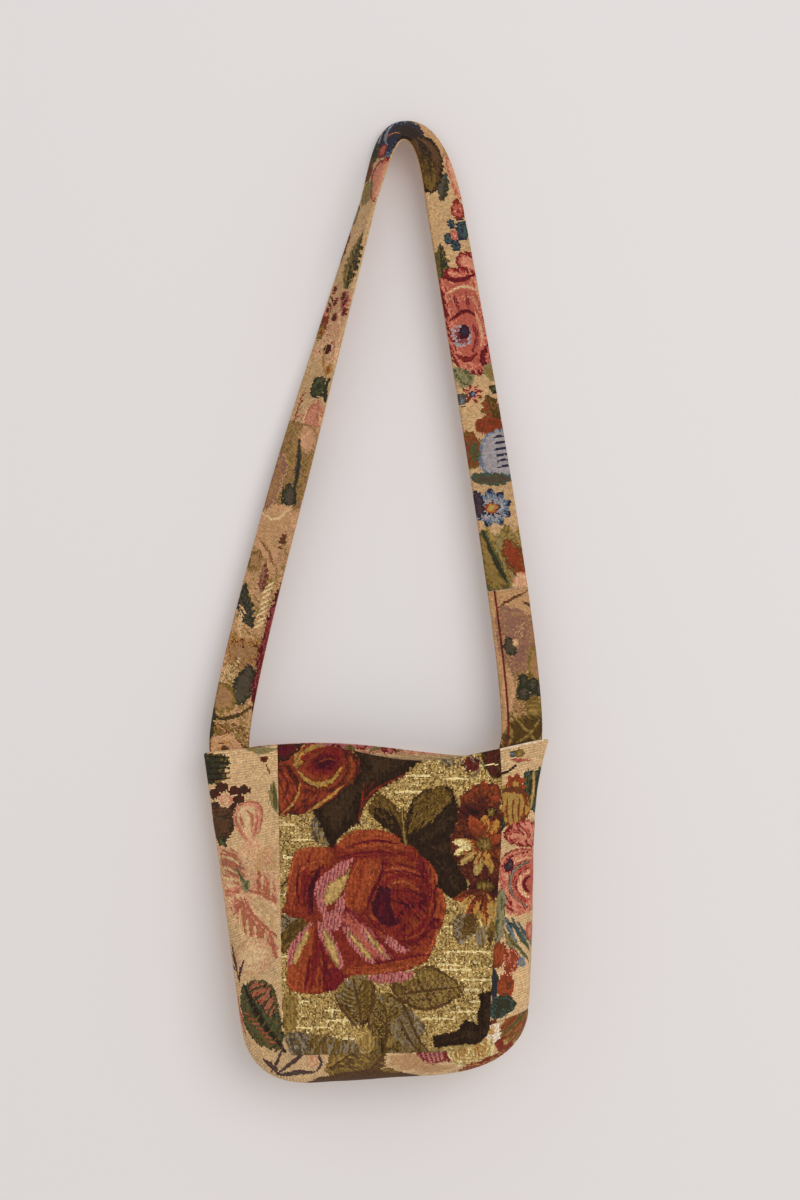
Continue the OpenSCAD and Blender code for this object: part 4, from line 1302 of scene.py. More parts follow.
    # Side turned to the back
    for x, y in ((-112, 40), (-106, 104), (-96, 168), (-86, 232)):
        c.rosette(x, y, 15, (crimson, coral, salmon, cream), (wine, crimson), x)
        c.leaf((x - 12, y + 8), (x - 26, y + 26), 13, (leaf_green, sage, olive), 0.1, leaf_dark)

    # Foot, from left to right
    for points, wide in (
        ([(4, 304), (-2, 320), (-10, 334)], 3), ([(24, 314), (10, 324), (-2, 334)], 4),
        ([(34, 332), (14, 333), (-4, 337)], 5), ([(-16, 320), (-6, 328), (-2, 336)], 5),
        ([(38, 314), (42, 323), (37, 331)], 3),
    ):
        c.stroke(points, wide, (twig_plum, slate_dark), 30, 1.6)
    c.stroke([(28, 312), (36, 320), (28, 328)], 8, (peach, salmon, cream), 90, 1.6)
    c.hatch([(44, 326), (54, 312), (72, 300), (92, 310), (112, 312), (108, 326), (84, 342), (50, 340)],
            (umber, olive, mustard, olive), 30)
    c.leaf((50, 328), (80, 308), 15, (mustard, olive, umber), 0, olive_dark)
    c.leaf((86, 334), (106, 312), 13, (olive, umber), 0, olive_dark)
    c.area([(30, 342), (56, 333), (90, 329), (122, 331), (140, 337), (140, 366), (20, 366)],
           (umber, olive_dark, umber), 10, 0, 1.8)
    c.area([(96, 328), (130, 326), (136, 332), (110, 334)], (olive, olive_light), 5, 0, 1.4)
    c.area([(104, 312), (134, 308), (150, 318), (180, 322), (176, 334), (140, 338), (106, 328)],
           (cream, cream_rib, tan), 8, 0, 1.4)
    c.area([(134, 310), (146, 304), (166, 302), (172, 312), (166, 322), (150, 324), (140, 318)],
           (mauve, salmon, rose_pink), 6, 45, 1.8)
    for k in range(7):
        c.stroke([(138 + 4.5 * k, 306 + (k % 2)), (144 + 4.5 * k, 322)], 1.8, (crimson, mauve), 60)
    c.area([(162, 304), (178, 299), (178, 316), (166, 323)], (brick, crimson, wine), 5, 60, 1.5)
    for x, y, r, yarns in (
        (226, 302, 12, (crimson, brick, rust)), (211, 292, 11, (tan, cream, white)),
        (182, 312, 14, (rust, amber, gold, gold_pale)), (201, 309, 13, (rust, amber, gold, gold_pale)),
    ):
        c.rosette(x, y, r, yarns, (amber, gold), 3 * x)
    c.hatch([(216, 294), (232, 268), (262, 254), (278, 270), (262, 296), (234, 304)],
            (rust, olive, orange, olive_light), 130)
    c.stroke([(222, 296), (240, 278), (258, 262)], 4, (olive, leaf_green), 130)
    c.area([(180, 326), (210, 318), (232, 306), (252, 308), (222, 340), (180, 350)],
           (brick, amber, rust), 8, 30, 2)


def draw_right_gusset(c):
    """Pink roses, orange flowers and grey-green leaves on the same cream ground, with a painted highlight
    along the folded lip at the mouth.
    """
    c.cream_ground(cream, cream_rib)
    # Painted highlight: a paler cream and white strip along the top of the hem, where the folded lip is lit
    # from above
    c.stroke([(218, 9), (238, 5), (264, -1)], 5, (cream, white), 0, 0.6, 0.9)
    c.disc(233, 14, 4, 3, (slate_dark, sky))
    c.disc(240, 13, 5, 4, (olive, olive_light))
    c.stroke([(231, 20), (240, 20), (250, 20)], 4, (mauve, coral), 0, 1.6)
    c.stroke([(220, 34), (228, 32), (236, 25)], 2.4, bark, 0, blunt=0.8)
    c.area([(246, 28), (256, 32), (262, 26), (276, 34), (266, 56), (258, 76), (248, 66), (242, 46)],
           (leaf_dark, teal, leaf_green, leaf_dark), 6, 100, 2)
    c.stroke([(254, 30), (254, 50), (251, 68)], 4, (olive_light, pith), 95)
    c.area([(218, 50), (228, 44), (240, 46), (250, 56), (250, 74), (242, 86), (228, 88), (219, 78)],
           (rust_brown, amber, mustard), 9, 80, 1.8)
    for k in range(5):
        c.stroke([(222 + 6 * k, 58), (220 + 6 * k, 70), (224 + 5 * k, 84)], 2, (rust, rust_brown), 90)
    c.daisy(236, 44, 11, 7, (rust_brown, rust, orange), (amber, mustard), 20)
    c.stroke([(220, 52), (236, 48), (250, 58)], 6, (umber, rust_brown), 10, 1.5)
    c.disc(221, 84, 5, 7, (leaf_dark, teal), 1.4)
    c.area([(222, 92), (232, 84), (246, 80), (262, 80), (262, 104), (250, 108), (238, 106), (226, 102)],
           (crimson, coral, salmon), 7, 60, 1.8)
    for points in ([(226, 96), (234, 90), (244, 94)], [(240, 86), (250, 92), (246, 102)],
                   [(230, 102), (240, 98)]):
        c.stroke(points, 4, (crimson, coral), 60, 1.4)
    c.area([(219, 128), (221, 118), (230, 111), (242, 107), (266, 108), (266, 166), (250, 172), (240, 176),
            (230, 175), (223, 168), (220, 148)], (coral, salmon, salmon, coral), 10, 60, 2)
    c.stroke([(220, 134), (222, 120), (234, 112), (250, 110)], 6, (crimson, coral, salmon), 50, 1.4)
    c.stroke([(225, 140), (229, 124), (240, 118), (252, 118)], 4, (cream, salmon), 50, 1.4)
    c.arcs(252, 144, (8, 13, 18, 23), 100, 262, 4,
           ((crimson, wine), (cream, salmon), (crimson, coral), (slate_dark, slate)))
    c.area([(224, 122), (232, 118), (236, 124), (230, 132), (224, 132)],
           (wine, navy, slate_dark), 5, 60, 1.5)
    for points in ([(222, 150), (228, 164), (238, 172)], [(228, 152), (234, 162), (246, 168)],
                   [(224, 160), (232, 170)]):
        c.stroke(points, 5, (crimson, coral, salmon), 50, 1.4)
    c.hatch([(214, 152), (222, 148), (226, 158), (226, 178), (222, 200), (214, 208), (212, 180)],
            (leaf_green, sage, slate, sage), 95)
    for points, yarns in (
        ([(226, 178), (230, 190), (236, 202)], (teal, sky)),
        ([(232, 178), (240, 196), (252, 210)], (leaf_green, teal)),
        ([(228, 194), (238, 208), (252, 222)], (sage, leaf_green)),
        ([(224, 188), (230, 206), (244, 222)], (olive, sage)),
        ([(238, 182), (246, 196), (256, 204)], (slate, teal)),
        ([(226, 184), (236, 186), (240, 194)], (navy, teal)),
    ):
        c.stroke(points, 5, yarns, 50, 1.5)
    c.disc(252, 190, 6, 9, (coral, salmon), 1.4)
    c.area([(212, 204), (222, 201), (229, 212), (224, 226), (212, 230)],
           (rust_brown, rust, orange), 6, 90, 1.8)
    c.area([(224, 210), (234, 207), (241, 219), (234, 235), (224, 237)],
           (rust, salmon, coral, rust), 6, 60, 2)
    c.disc(242, 222, 4, 5, (sky, slate))
    c.disc(225, 246, 10, 12, (rust, orange, rust_brown), 1.8)
    c.stroke([(211, 222), (216, 240), (213, 264)], 6, (leaf_dark, navy), 90, 1.4)
    c.area([(210, 260), (224, 253), (234, 258), (238, 265), (226, 276), (210, 282)],
           (leaf_dark, teal, leaf_dark), 6, 30, 1.8)
    c.disc(211, 284, 6, 4, (rust_brown, maroon))
    for k in range(4):
        c.rosette(300, 30 + 64 * k, 18, (crimson, coral, salmon, cream), (wine, crimson), 70 * k)
        c.leaf((318, 40 + 64 * k), (338, 62 + 64 * k), 16, (leaf_green, sage, olive), 0.1, leaf_dark)
        c.leaf((286, 46 + 64 * k), (272, 68 + 64 * k), 12, (leaf_dark, teal, sage), -0.1, leaf_dark)


def draw_back(c):
    """A plain repeat of roses and sprigs on the cream ground, with a pink band along the mouth."""
    c.cream_ground(cream, cream_rib)
    c.area([(-40, -6), (260, -6), (260, 14), (-40, 14)], (salmon, peach, rose_pink), 8, 0, 1.8)
    for k in range(10):
        c.disc(-26 + 27 * k, 5 + 4 * (k % 2), 7, 5, (crimson, coral, rose_pink), 1.2)
        c.stroke([(-18 + 27 * k, 12), (-12 + 27 * k, 6), (-6 + 27 * k, 10)], 4, (olive, sage), 0)
    for row in range(4):
        for col in range(3):
            x = 10 + 82 * col + 40 * (row % 2)
            y = 58 + 72 * row
            c.leaf((x + 12, y + 10), (x + 36, y + 26), 17, (leaf_dark, leaf_green, olive), 0.1, leaf_dark)
            c.leaf((x - 12, y + 10), (x - 34, y + 28), 15, (leaf_green, sage, olive), -0.1, leaf_dark)
            c.leaf((x + 2, y - 14), (x + 12, y - 38), 14, (olive, sage, leaf_green), 0.1, leaf_dark)
            c.rosette(x, y, 21, (crimson, coral, salmon, rose_pink), (wine, crimson), 60 * row + 40 * col)
            c.daisy(x + 38, y - 10, 9, 6, (sky, lilac), (amber, mustard), 15)


# Straps are drawn in stitches: along from the crown, right leg forward, and across from the middle
fold_line = -11.5
inner_share = 0.84


def strap_ground(c, pale, rib):
    c.colour[:] = np.where(c.fleck[..., None] > strap_rib_share, pale, rib)


def draw_strap(c):
    """Roses and blue flowers on cream, over the crown and down both legs."""
    strap_ground(c, strap_cream, tan)

    # Crown: a blue flower and an olive-brown leaf, with painted shade in dark bark yarn where the strap
    # folds at the top of its arch
    c.area([(-6, 4), (44, 4), (48, 26), (-6, 26)], (tan, sand, tan), 9, 10)
    c.area([(-38, -28), (8, -28), (18, -6), (12, 14), (-6, 26), (-30, 26), (-40, 6)],
           (slate_dark, sky, navy), 9, 70, 1.8)
    # Partly the flower's own dark navy heart, partly painted shade: bark laid where the folds at the top of
    # the arch are in shadow
    c.area([(-16, -28), (10, -28), (22, -4), (14, 12), (-4, 14), (-14, 2)], (bark, navy, bark), 8, 60, 1.2)
    c.stroke([(-22, 6), (-12, 0), (-6, -8)], 4, (navy, orange, amber), 120)
    c.stroke([(-26, -6), (-18, 8), (-8, 16)], 4, (lilac, sky), 60)
    c.stroke([(-30, 10), (-20, 16), (-10, 22)], 3, (slate, lilac), 30)
    # Olive-brown leaf, darkened with bark as painted shade of the folds beside the top of the arch
    c.area([(8, -28), (40, -28), (70, -26), (80, -8), (60, 6), (40, 12), (20, 10)],
           (bark, olive_dark, umber), 9, 20, 1.6)
    c.petal((18, -8), (76, -12), 18, (bark, olive_dark, olive))
    c.area([(44, 10), (84, 12), (88, 26), (44, 26)], (coral, salmon, peach), 6, 10)

    # Right leg
    c.leaf((86, -4), (58, 9), 11, (leaf_dark, teal, slate_dark), 0, olive_dark)
    c.disc(97, 13, 11, 7, (brick, coral, cream))
    c.disc(98, 13, 4, 3, (coral, brick))
    for x, y, rx, ry in ((118, 14, 11, 8), (110, 3, 5, 4), (124, -3, 6, 4), (132, 4, 6, 5)):
        c.disc(x, y, rx, ry, (navy, teal, navy))
    c.disc(121, 4, 5, 4, (coral, salmon))
    c.leaf((168, -15), (127, -11), 13, (leaf_dark, olive, leaf_green), 0, leaf_dark)
    c.area([(138, 8), (146, 0), (160, 4), (166, 26), (142, 26)], (crimson, coral, salmon), 7, 60)
    c.area([(156, -18), (214, -20), (250, -18), (266, -4), (258, 26), (214, 26), (166, 26), (152, 10)],
           (crimson, coral, salmon, coral), 12, 20, 1.6)
    for points, wide, yarns in (
        ([(162, -14), (168, 2), (162, 20)], 5, (crimson, wine)),
        ([(178, -12), (172, 4), (180, 20)], 4, (salmon, cream)),
        ([(188, -10), (184, 4), (190, 16)], 4, (salmon, coral)),
        ([(206, -14), (196, 2), (206, 14)], 4, (crimson, wine)),
        ([(182, -6), (200, -4)], 3, (crimson, mauve)), ([(180, 6), (198, 6)], 3, (crimson, mauve)),
        ([(200, 12), (220, 16), (236, 12)], 4, (salmon, peach)),
        ([(212, 8), (228, 10), (240, 2)], 4, (crimson, mauve)),
        ([(236, 18), (248, 10), (258, 14)], 6, (wine, crimson)),
        ([(240, -14), (248, -4), (242, 6)], 5, (crimson, brick)),
        ([(166, 18), (190, 20), (212, 22)], 4, (salmon, peach)),
    ):
        c.stroke(points, wide, yarns, 20)
    c.disc(222, -5, 11, 9, (lilac, mauve, plum))
    c.disc(219, -2, 7, 5, (plum, navy))
    c.area([(252, -18), (266, -18), (278, -8), (266, 0), (254, -6)], (sage, leaf_green, sage), 5, 30)
    c.area([(254, 10), (270, 12), (274, 26), (254, 26)], (sage, olive_light), 5, 30)
    c.daisy(281, -4, 10, 8, (salmon, brick), (navy, sky), 10, 0.35)
    c.disc(286, -14, 6, 5, (slate_dark, sky))
    c.disc(280, 18, 5, 5, (leaf_dark, leaf_green))
    c.leaf((314, 14), (284, 9), 22, (olive_dark, olive, rust), 0, olive_dark)
    c.area([(306, -8), (310, 22), (324, 24), (324, -6)], (rust, rust_brown, rust), 6, 80)
    c.area([(314, -18), (322, -6), (348, 0), (360, -16), (336, -20)], (olive, rust, leaf_green), 7, 20, 1.5)
    c.area([(320, 4), (330, -4), (352, -8), (368, -2), (372, 26), (320, 26)], (sky, lilac, lilac), 6, 0)
    for k in range(6):
        c.stroke([(328 + 6 * k, 9), (327 + 6 * k, 15), (328 + 6 * k, 22)], 2.2, navy, 90, blunt=0.7)
    c.area([(358, -18), (370, -14), (378, 4), (372, 24), (364, 18), (362, 0)],
           (teal, leaf_green, slate_dark), 5, 60, 1.5)
    c.daisy(397, -3, 20, 9, (navy, lilac, sky, navy), (orange, amber, gold), 20, 0.55)
    c.area([(376, -18), (406, -18), (402, -10), (382, -9)], (navy, twig_plum), 5)
    c.hatch([(426, -22), (413, -11), (427, -4), (411, 9), (428, 15), (414, 23), (424, 26), (484, 26),
             (484, -22)], (olive_light, sage, olive, mustard), 20)
    c.area([(426, -22), (416, -13), (430, -8), (452, -2), (482, 4), (482, -22)],
           (leaf_green, olive, olive_light), 8, 35, 1.5)
    c.stroke([(418, -14), (446, -8), (472, 0)], 4, (leaf_dark, leaf_dark), 15)
    c.area([(426, 4), (438, 18), (458, 26), (474, 22), (464, 6), (444, -2)],
           (rust_brown, olive, rust), 7, 40, 1.5)
    c.area([(464, 8), (484, 4), (484, 26), (464, 26)], (salmon, cream, peach), 6, 0)

    # Left leg
    c.area([(-26, 6), (-44, 2), (-48, 22), (-28, 24)], (leaf_dark, leaf_green, leaf_dark), 6, 20)
    c.area([(-24, -6), (-38, -10), (-42, 4), (-26, 6)], (brick, coral), 5, 20)
    c.area([(-34, -26), (-62, -28), (-88, -26), (-78, 2), (-46, 6)], (crimson, coral, salmon), 6, 20, 1.6)
    c.area([(-40, 8), (-64, 6), (-66, 26), (-42, 26)], (umber, olive, rust_brown), 6, 20, 1.4)
    c.area([(-62, -4), (-86, -8), (-90, 16), (-66, 20)], (olive, sage, olive_light), 6, 20)
    c.area([(-88, 13), (-108, 12), (-112, 26), (-90, 26)], (olive, sage), 5, 0)
    c.area([(-114, 15), (-148, 14), (-152, 26), (-116, 26)], (rust_brown, umber, rust), 5, 0, 1.6)
    c.leaf((-176, -6), (-116, -12), 24, (leaf_dark, olive, olive_light), 0.05, leaf_dark)
    for k in range(6):
        c.stroke([(-184 - 7 * k, 18 - k), (-188 - 7 * k, 10), (-194 - 7 * k, 7 + k)],
                 3, (rust_brown, maroon), 40)
    c.disc(-188, -11, 10, 6, (coral, mauve, plum))
    c.area([(-194, -14), (-222, -16), (-228, 2), (-206, 6)], (salmon, cream, peach), 6, 20, 1.4)
    c.disc(-216, 15, 14, 9, (rust, rust_brown, coral), 1.2)
    c.rosette(-238, -4, 19, (rust_brown, salmon, cream, peach), (plum, maroon), 30)
    c.disc(-222, 14, 8, 6, (olive, amber, rust))
    c.disc(-258, -12, 6, 4, (amber, orange))
    for x, y in ((-178, 12), (-182, -6), (-190, 4), (-198, -14), (-200, 14), (-206, -2)):
        c.disc(x, y, 6, 5, (salmon, rust_brown, maroon), 1.2)
    c.stroke([(-232, -2), (-250, -1), (-266, -12)], 3, (amber, mustard), 0)
    c.disc(-277, -5, 11, 9, (leaf_dark, leaf_green, leaf_dark))
    c.stroke([(-266, -16), (-278, -14), (-290, -17)], 5, (leaf_dark, leaf_dark), 0)
    c.area([(-286, -10), (-300, -20), (-326, -20), (-326, 4), (-300, 6)],
           (peach, terracotta, salmon), 6, 30, 1.8)
    for k in range(4):
        c.stroke([(-284 - 8 * k, 8), (-290 - 8 * k, 14), (-298 - 8 * k, 12)], 3, (salmon, rust_brown), 30)
        c.stroke([(-296 - 5 * k, 0), (-304 - 5 * k, 3)], 2, (cream, cream), 0)

    # Hidden face
    for k in range(9):
        x = -290 + 88 * k
        c.rosette(x, 42, 15, (crimson, coral, salmon, rose_pink), (wine, crimson), 50 * k)
        c.leaf((x + 14, 44), (x + 40, 38), 14, (leaf_dark, leaf_green, sage), 0.1, leaf_dark)
        c.daisy(x + 56, 46, 10, 7, (navy, sky, lilac), (amber, gold), 12 * k)


def draw_tan_strap(c):
    """Muted flowers on a tan ground, for both lower lengths of the strap."""
    strap_ground(c, tan, tan_rib)
    c.hatch([(-420, -24), (-690, -24), (-690, 26), (-420, 26)], (tan, sand, peach, tan, olive_light), 60)
    c.hatch([(552, -12), (690, -12), (690, 26), (552, 26)], (olive_light, tan, olive, sand), 40)

    # Left length, down from its joint
    c.hatch([(-312, -20), (-424, -20), (-420, 64), (-312, 64)],
            (sand, olive, olive_light, mauve_brown, mustard), 60)
    c.area([(-314, -18), (-348, -18), (-342, 2), (-318, 4)], (sand, tan, peach), 6, 60, 1.8)
    c.stroke([(-332, 0), (-360, -7), (-390, -8)], 5, (slate_dark, leaf_dark), 0)
    c.area([(-374, -2), (-388, -14), (-404, -10), (-400, 0), (-386, 4)], (leaf_dark, slate_dark), 6, 20)
    c.area([(-350, 8), (-372, 4), (-404, 7), (-410, 26), (-350, 26)],
           (tan, mauve_brown, mauve_brown, sand), 8, 30, 1.4)
    c.area([(-396, -18), (-440, -18), (-462, 0), (-442, 24), (-404, 20)], (tan, peach, tan), 8, 40, 1.4)
    c.stroke([(-398, -10), (-418, 2), (-412, 20)], 3, (cream, cream), 40)
    c.stroke([(-436, 20), (-444, 4), (-458, -6)], 3, (rust_brown, sand), 40)
    c.disc(-434, -10, 10, 5, (tan, rust_brown, umber), 1.2)
    c.area([(-448, 6), (-470, 2), (-474, 22), (-452, 24)], (sand, olive, sand), 6, 30, 1.5)
    c.leaf((-490, -2), (-458, 1), 9, (rust_brown, mauve_brown), 0)
    c.leaf((-526, -2), (-484, 17), 17, (leaf_dark, slate_dark, leaf_dark), 0.1)
    for k in range(8):
        c.stroke([(-476 - 6 * k, -12 + (k % 3)), (-484 - 6 * k, -4 + (k % 2))], 2.4, (cream, gold_pale), 20)
        c.stroke([(-506 - 4 * k, 18 - k), (-514 - 4 * k, 8 + (k % 3))], 2.2, (cream, tan), 40)
    c.area([(-530, -18), (-540, 0), (-534, 22), (-562, 20), (-570, -2), (-556, -18)],
           (sand, amber, rust_brown, sand), 8, 50, 2)
    for k in range(8):
        c.stroke([(-556 - 5 * k, 2 + (k % 3)), (-568 - 4 * k, 10), (-574 - 4 * k, 20)],
                 2.4, (cream, olive_light), 60)
    c.area([(-560, -8), (-574, -16), (-602, -12), (-606, 0), (-588, 6), (-572, 2)],
           (leaf_dark, slate_dark), 6, 20)
    c.area([(-584, 6), (-606, -4), (-614, 4), (-614, 24), (-588, 24)],
           (olive, olive_light, sand), 6, 60, 1.6)
    c.stroke([(-602, -18), (-616, -4), (-622, 10), (-614, 22)], 4, (leaf_dark, olive_dark), 70)
    c.hatch([(-622, -22), (-690, -22), (-690, 26), (-626, 26)],
            (olive, sand, rust_brown, tan, olive_light), 50)
    c.rosette(-650, 4, 15, (rust_brown, amber, tan, peach), (umber, rust_brown), 20)
    c.area([(-612, 16), (-644, 17), (-644, 28), (-612, 28)], (leaf_dark, olive_dark), 5, 0)
    c.area([(-660, -20), (-684, -20), (-684, 28), (-660, 28)], (rust_brown, tan), 5, 60, 1.6)

    # Right length, down from its joint
    c.stroke([(498, -12), (490, 0), (484, 20)], 3, (rust_brown, umber), 60)
    c.stroke([(494, 14), (500, 22)], 3, (umber, umber), 60)
    c.area([(494, -13), (540, -15), (562, -6), (566, 6), (550, 20), (512, 24), (500, 8)],
           (mauve_brown, sand, mauve_brown), 10, 50, 1.6)
    for k in range(6):
        c.stroke([(502 + 8 * k, 18 - 3 * k), (514 + 7 * k, 10 - 3 * k), (520 + 7 * k, 0 - k)],
                 2.2, (tan, mauve_brown), 50)
    c.area([(526, -9), (540, -10), (548, -2), (538, 2), (528, -1)], (leaf_dark, slate_dark), 4, 30)
    c.disc(533, 1, 4, 3, (tan, cream))
    c.area([(538, 14), (566, 8), (576, 14), (572, 26), (540, 26)], (olive, olive_light, sand), 6, 30, 1.4)
    c.area([(558, -14), (600, -15), (604, -8), (580, -3), (564, -4)], (tan, peach, tan), 5, 0)
    for x, y, r in ((572, 4, 7), (578, 14, 8), (584, 3, 8), (590, 12, 7), (582, 20, 6)):
        c.disc(x, y, r, r * 0.8, (leaf_dark, slate_dark))
    c.disc(602, 13, 13, 8, (olive, olive_light, mustard), 1.2)
    c.area([(606, -2), (616, -14), (640, -18), (672, -18), (672, 28), (614, 28), (606, 20)],
           (olive, olive_dark, leaf_dark, olive_dark), 6, 40, 2.2)
    for points in (
        [(606, -8), (620, 4), (634, 18)], [(610, 18), (622, 10), (634, -4)],
        [(618, 24), (632, 16), (646, 2)], [(612, -12), (624, -8), (640, -10)],
    ):
        c.stroke(points, 5, (olive_dark, olive, olive_light), 50, 1.6)

    # Hidden face, dark red at the left length's inner edge, and the right length's line of stitches
    for k in range(16):
        x = -660 + 88 * k
        c.daisy(x, 42, 15, 6, (mauve_brown, tan), (umber, rust_brown), 20 * k)
        c.leaf((x + 14, 44), (x + 40, 40), 13, (leaf_dark, olive, slate_dark), 0.1, leaf_dark)
    c.area([(-610, -23), (-468, -23), (-468, -17), (-540, fold_line), (-610, -15)],
           (wine, mauve, crimson), 5, 0, 1.6)
    c.stroke([(478, fold_line), (570, fold_line), (650, fold_line)], 2, (maroon, brick), 0, blunt=1)


# Relief of the weave, and the shade between its ribs
row_shift = 0.5
thread_share = 0.5
gap_shade = 0.76
rib_light = 0.36
reverse_share = 0.6


def tapestry(name, reverse):
    """Woven cloth: the yarn's own colour with painted shade between its threads and ribs, ribs of stitches
    in the bump, and a duller wrong side.
    """
    material = bpy.data.materials.new(name)
    material.use_nodes = True
    tree = material.node_tree
    shader = tree.nodes["Principled BSDF"]

    def node(kind, **settings):
        made = tree.nodes.new(kind)
        for key, value in settings.items():
            setattr(made, key, value)
        return made

    def math_node(operation, a, b):
        made = node("ShaderNodeMath", operation=operation)
        for socket, value in zip(made.inputs, (a, b)):
            if isinstance(value, (int, float)):
                socket.default_value = value
            else:
                tree.links.new(value, socket)
        return made.outputs[0]

    place = node("ShaderNodeSeparateXYZ")
    tree.links.new(node("ShaderNodeUVMap", uv_map="weave").outputs[0], place.inputs[0])
    col, row = place.outputs[0], place.outputs[1]
    rib = math_node("ABSOLUTE", math_node("SINE", math_node("MULTIPLY", row, math.pi), 0), 0)
    shift = math_node("MULTIPLY", math_node("FLOOR", row, 0), row_shift)
    turned = math_node("MULTIPLY", math_node("ADD", col, shift), math.pi)
    thread = math_node("ABSOLUTE", math_node("SINE", turned, 0), 0)
    lifted = math_node("ADD", math_node("MULTIPLY", thread, thread_share), 1 - thread_share)
    height = math_node("MULTIPLY", lifted, rib)
    bump = node("ShaderNodeBump")
    bump.inputs["Strength"].default_value = 0.6
    bump.inputs["Distance"].default_value = 0.0005
    tree.links.new(height, bump.inputs["Height"])
    tree.links.new(bump.outputs[0], shader.inputs["Normal"])
    shade = node("ShaderNodeMix", data_type="RGBA", blend_type="MULTIPLY")
    shade.inputs["Factor"].default_value = 1
    colour = node("ShaderNodeAttribute", attribute_name="yarn").outputs["Color"]
    if reverse:
        dull = node("ShaderNodeMix", data_type="RGBA")
        dull.inputs["Factor"].default_value = reverse_share
        dull.inputs["B"].default_value = (*reverse_colour, 1)
        tree.links.new(colour, dull.inputs["A"])
        colour = dull.outputs["Result"]
    tree.links.new(colour, shade.inputs["A"])
    # Painted shade: the yarn colour is multiplied darker where the weave lies low, between threads and
    # between ribs
    depth = math_node("ADD", math_node("MULTIPLY", height, rib_light), gap_shade)
    grey = node("ShaderNodeCombineColor")
    for socket in grey.inputs:
        tree.links.new(depth, socket)
    tree.links.new(grey.outputs[0], shade.inputs["B"])
    tree.links.new(shade.outputs["Result"], shader.inputs["Base Color"])
    shader.inputs["Roughness"].default_value = 0.95
    shader.inputs["Specular IOR Level"].default_value = 0.08
    shader.inputs["Sheen Weight"].default_value = 0.05
    shader.inputs["Sheen Roughness"].default_value = 0.5
    return material


reverse_colour = yarn(150, 122, 84)
right_side = tapestry("tapestry", False)
wrong_side = tapestry("tapestry_reverse", True)

# Stitches of the cloths in millimetres, coarser where less is seen, and the wall of the cloth
stitch = 1.08
back_stitch = 1.44
gusset_stitch = 1.09
wall_t = 0.95

# Faces of the panels and the gusset, with their hems and with their places on the drawing
front_grid, front_at = panel_points(front_seam, -panel_bow, front_wave, stitch)
front_place = np.linspace(0, panel_top_w, front_grid.shape[1])[None, :]
front_down = front_at[:, None]
front_edge = np.minimum(np.minimum(front_place, panel_top_w - front_place), front_at[-1] - front_down)
front_way = front_place + front_down
front_aside = front_place - front_down
front_grid = softly(front_grid, -grid_normals(front_grid), front_edge, front_way, front_aside, front_down,
                    seed=71)
front_rows = hemmed(front_grid, -grid_normals(front_grid), front_at, stitch, front_at[-1])[0]
front_rows = front_rows[:, ::-1]
back_grid, back_at = panel_points(back_seam, 0, back_wave, back_stitch)
back_rows = hemmed(back_grid, grid_normals(back_grid), back_at, back_stitch, back_at[-1])[0]
gusset_grid = gusset_points(gusset_stitch)
gusset_at = lengths(gusset_grid.mean(axis=1))
seam_at = gusset_at[station_n - side_n - 1]
across = np.array([lengths(line) for line in gusset_grid])
leg = np.linalg.norm(fold_front - front_seam, axis=1)
gusset_way = np.broadcast_to(gusset_at[:, None], across.shape)
gusset_down = np.minimum(gusset_way, gusset_at[-1] - gusset_way)
gusset_edge = np.minimum(np.minimum(across, across[:, -1:] - across), np.abs(gusset_way - seam_at))
gusset_grid = softly(gusset_grid, grid_normals(gusset_grid), gusset_edge, gusset_way, across, gusset_down,
                     seed=73)
corner = np.exp(-((across - leg[:, None] - fold_w[:, None] / 2) / corner_reach) ** 2)
corner_drop = np.where(gusset_way < gusset_at[-1] / 2, *corner_drops)
gusset_grid[..., 2] -= corner * corner_drop * np.exp(-gusset_down / corner_reach)
gusset_out = grid_normals(gusset_grid)
seam_chart = on_chart(front_seam)
fold_chart = on_chart(fold_front) - seam_chart
gusset_chart = seam_chart[:, None] + fold_chart[:, None] * (across / leg[:, None])[..., None]
main_rows, main_depth = hemmed(gusset_grid, gusset_out, gusset_at, gusset_stitch, seam_at)
main_chart = placed(gusset_chart, gusset_at, main_depth)
right_at = gusset_at[-1] - gusset_at[::-1]
right_rows, right_depth = hemmed(
    gusset_grid[::-1], gusset_out[::-1], right_at, gusset_stitch, gusset_at[-1] - seam_at
)
right_chart = placed(gusset_chart[::-1], right_at, right_depth)
right_rows = right_rows[:, ::-1]
right_chart = right_chart[:, ::-1]


def drawn(draw, places, seed, relief=0):
    """The yarns of a cloth whose stitches lie at these places on its drawing."""
    chart = Chart(places[..., 0], places[..., 1], seed)
    draw(chart)
    return chart.finished(relief)


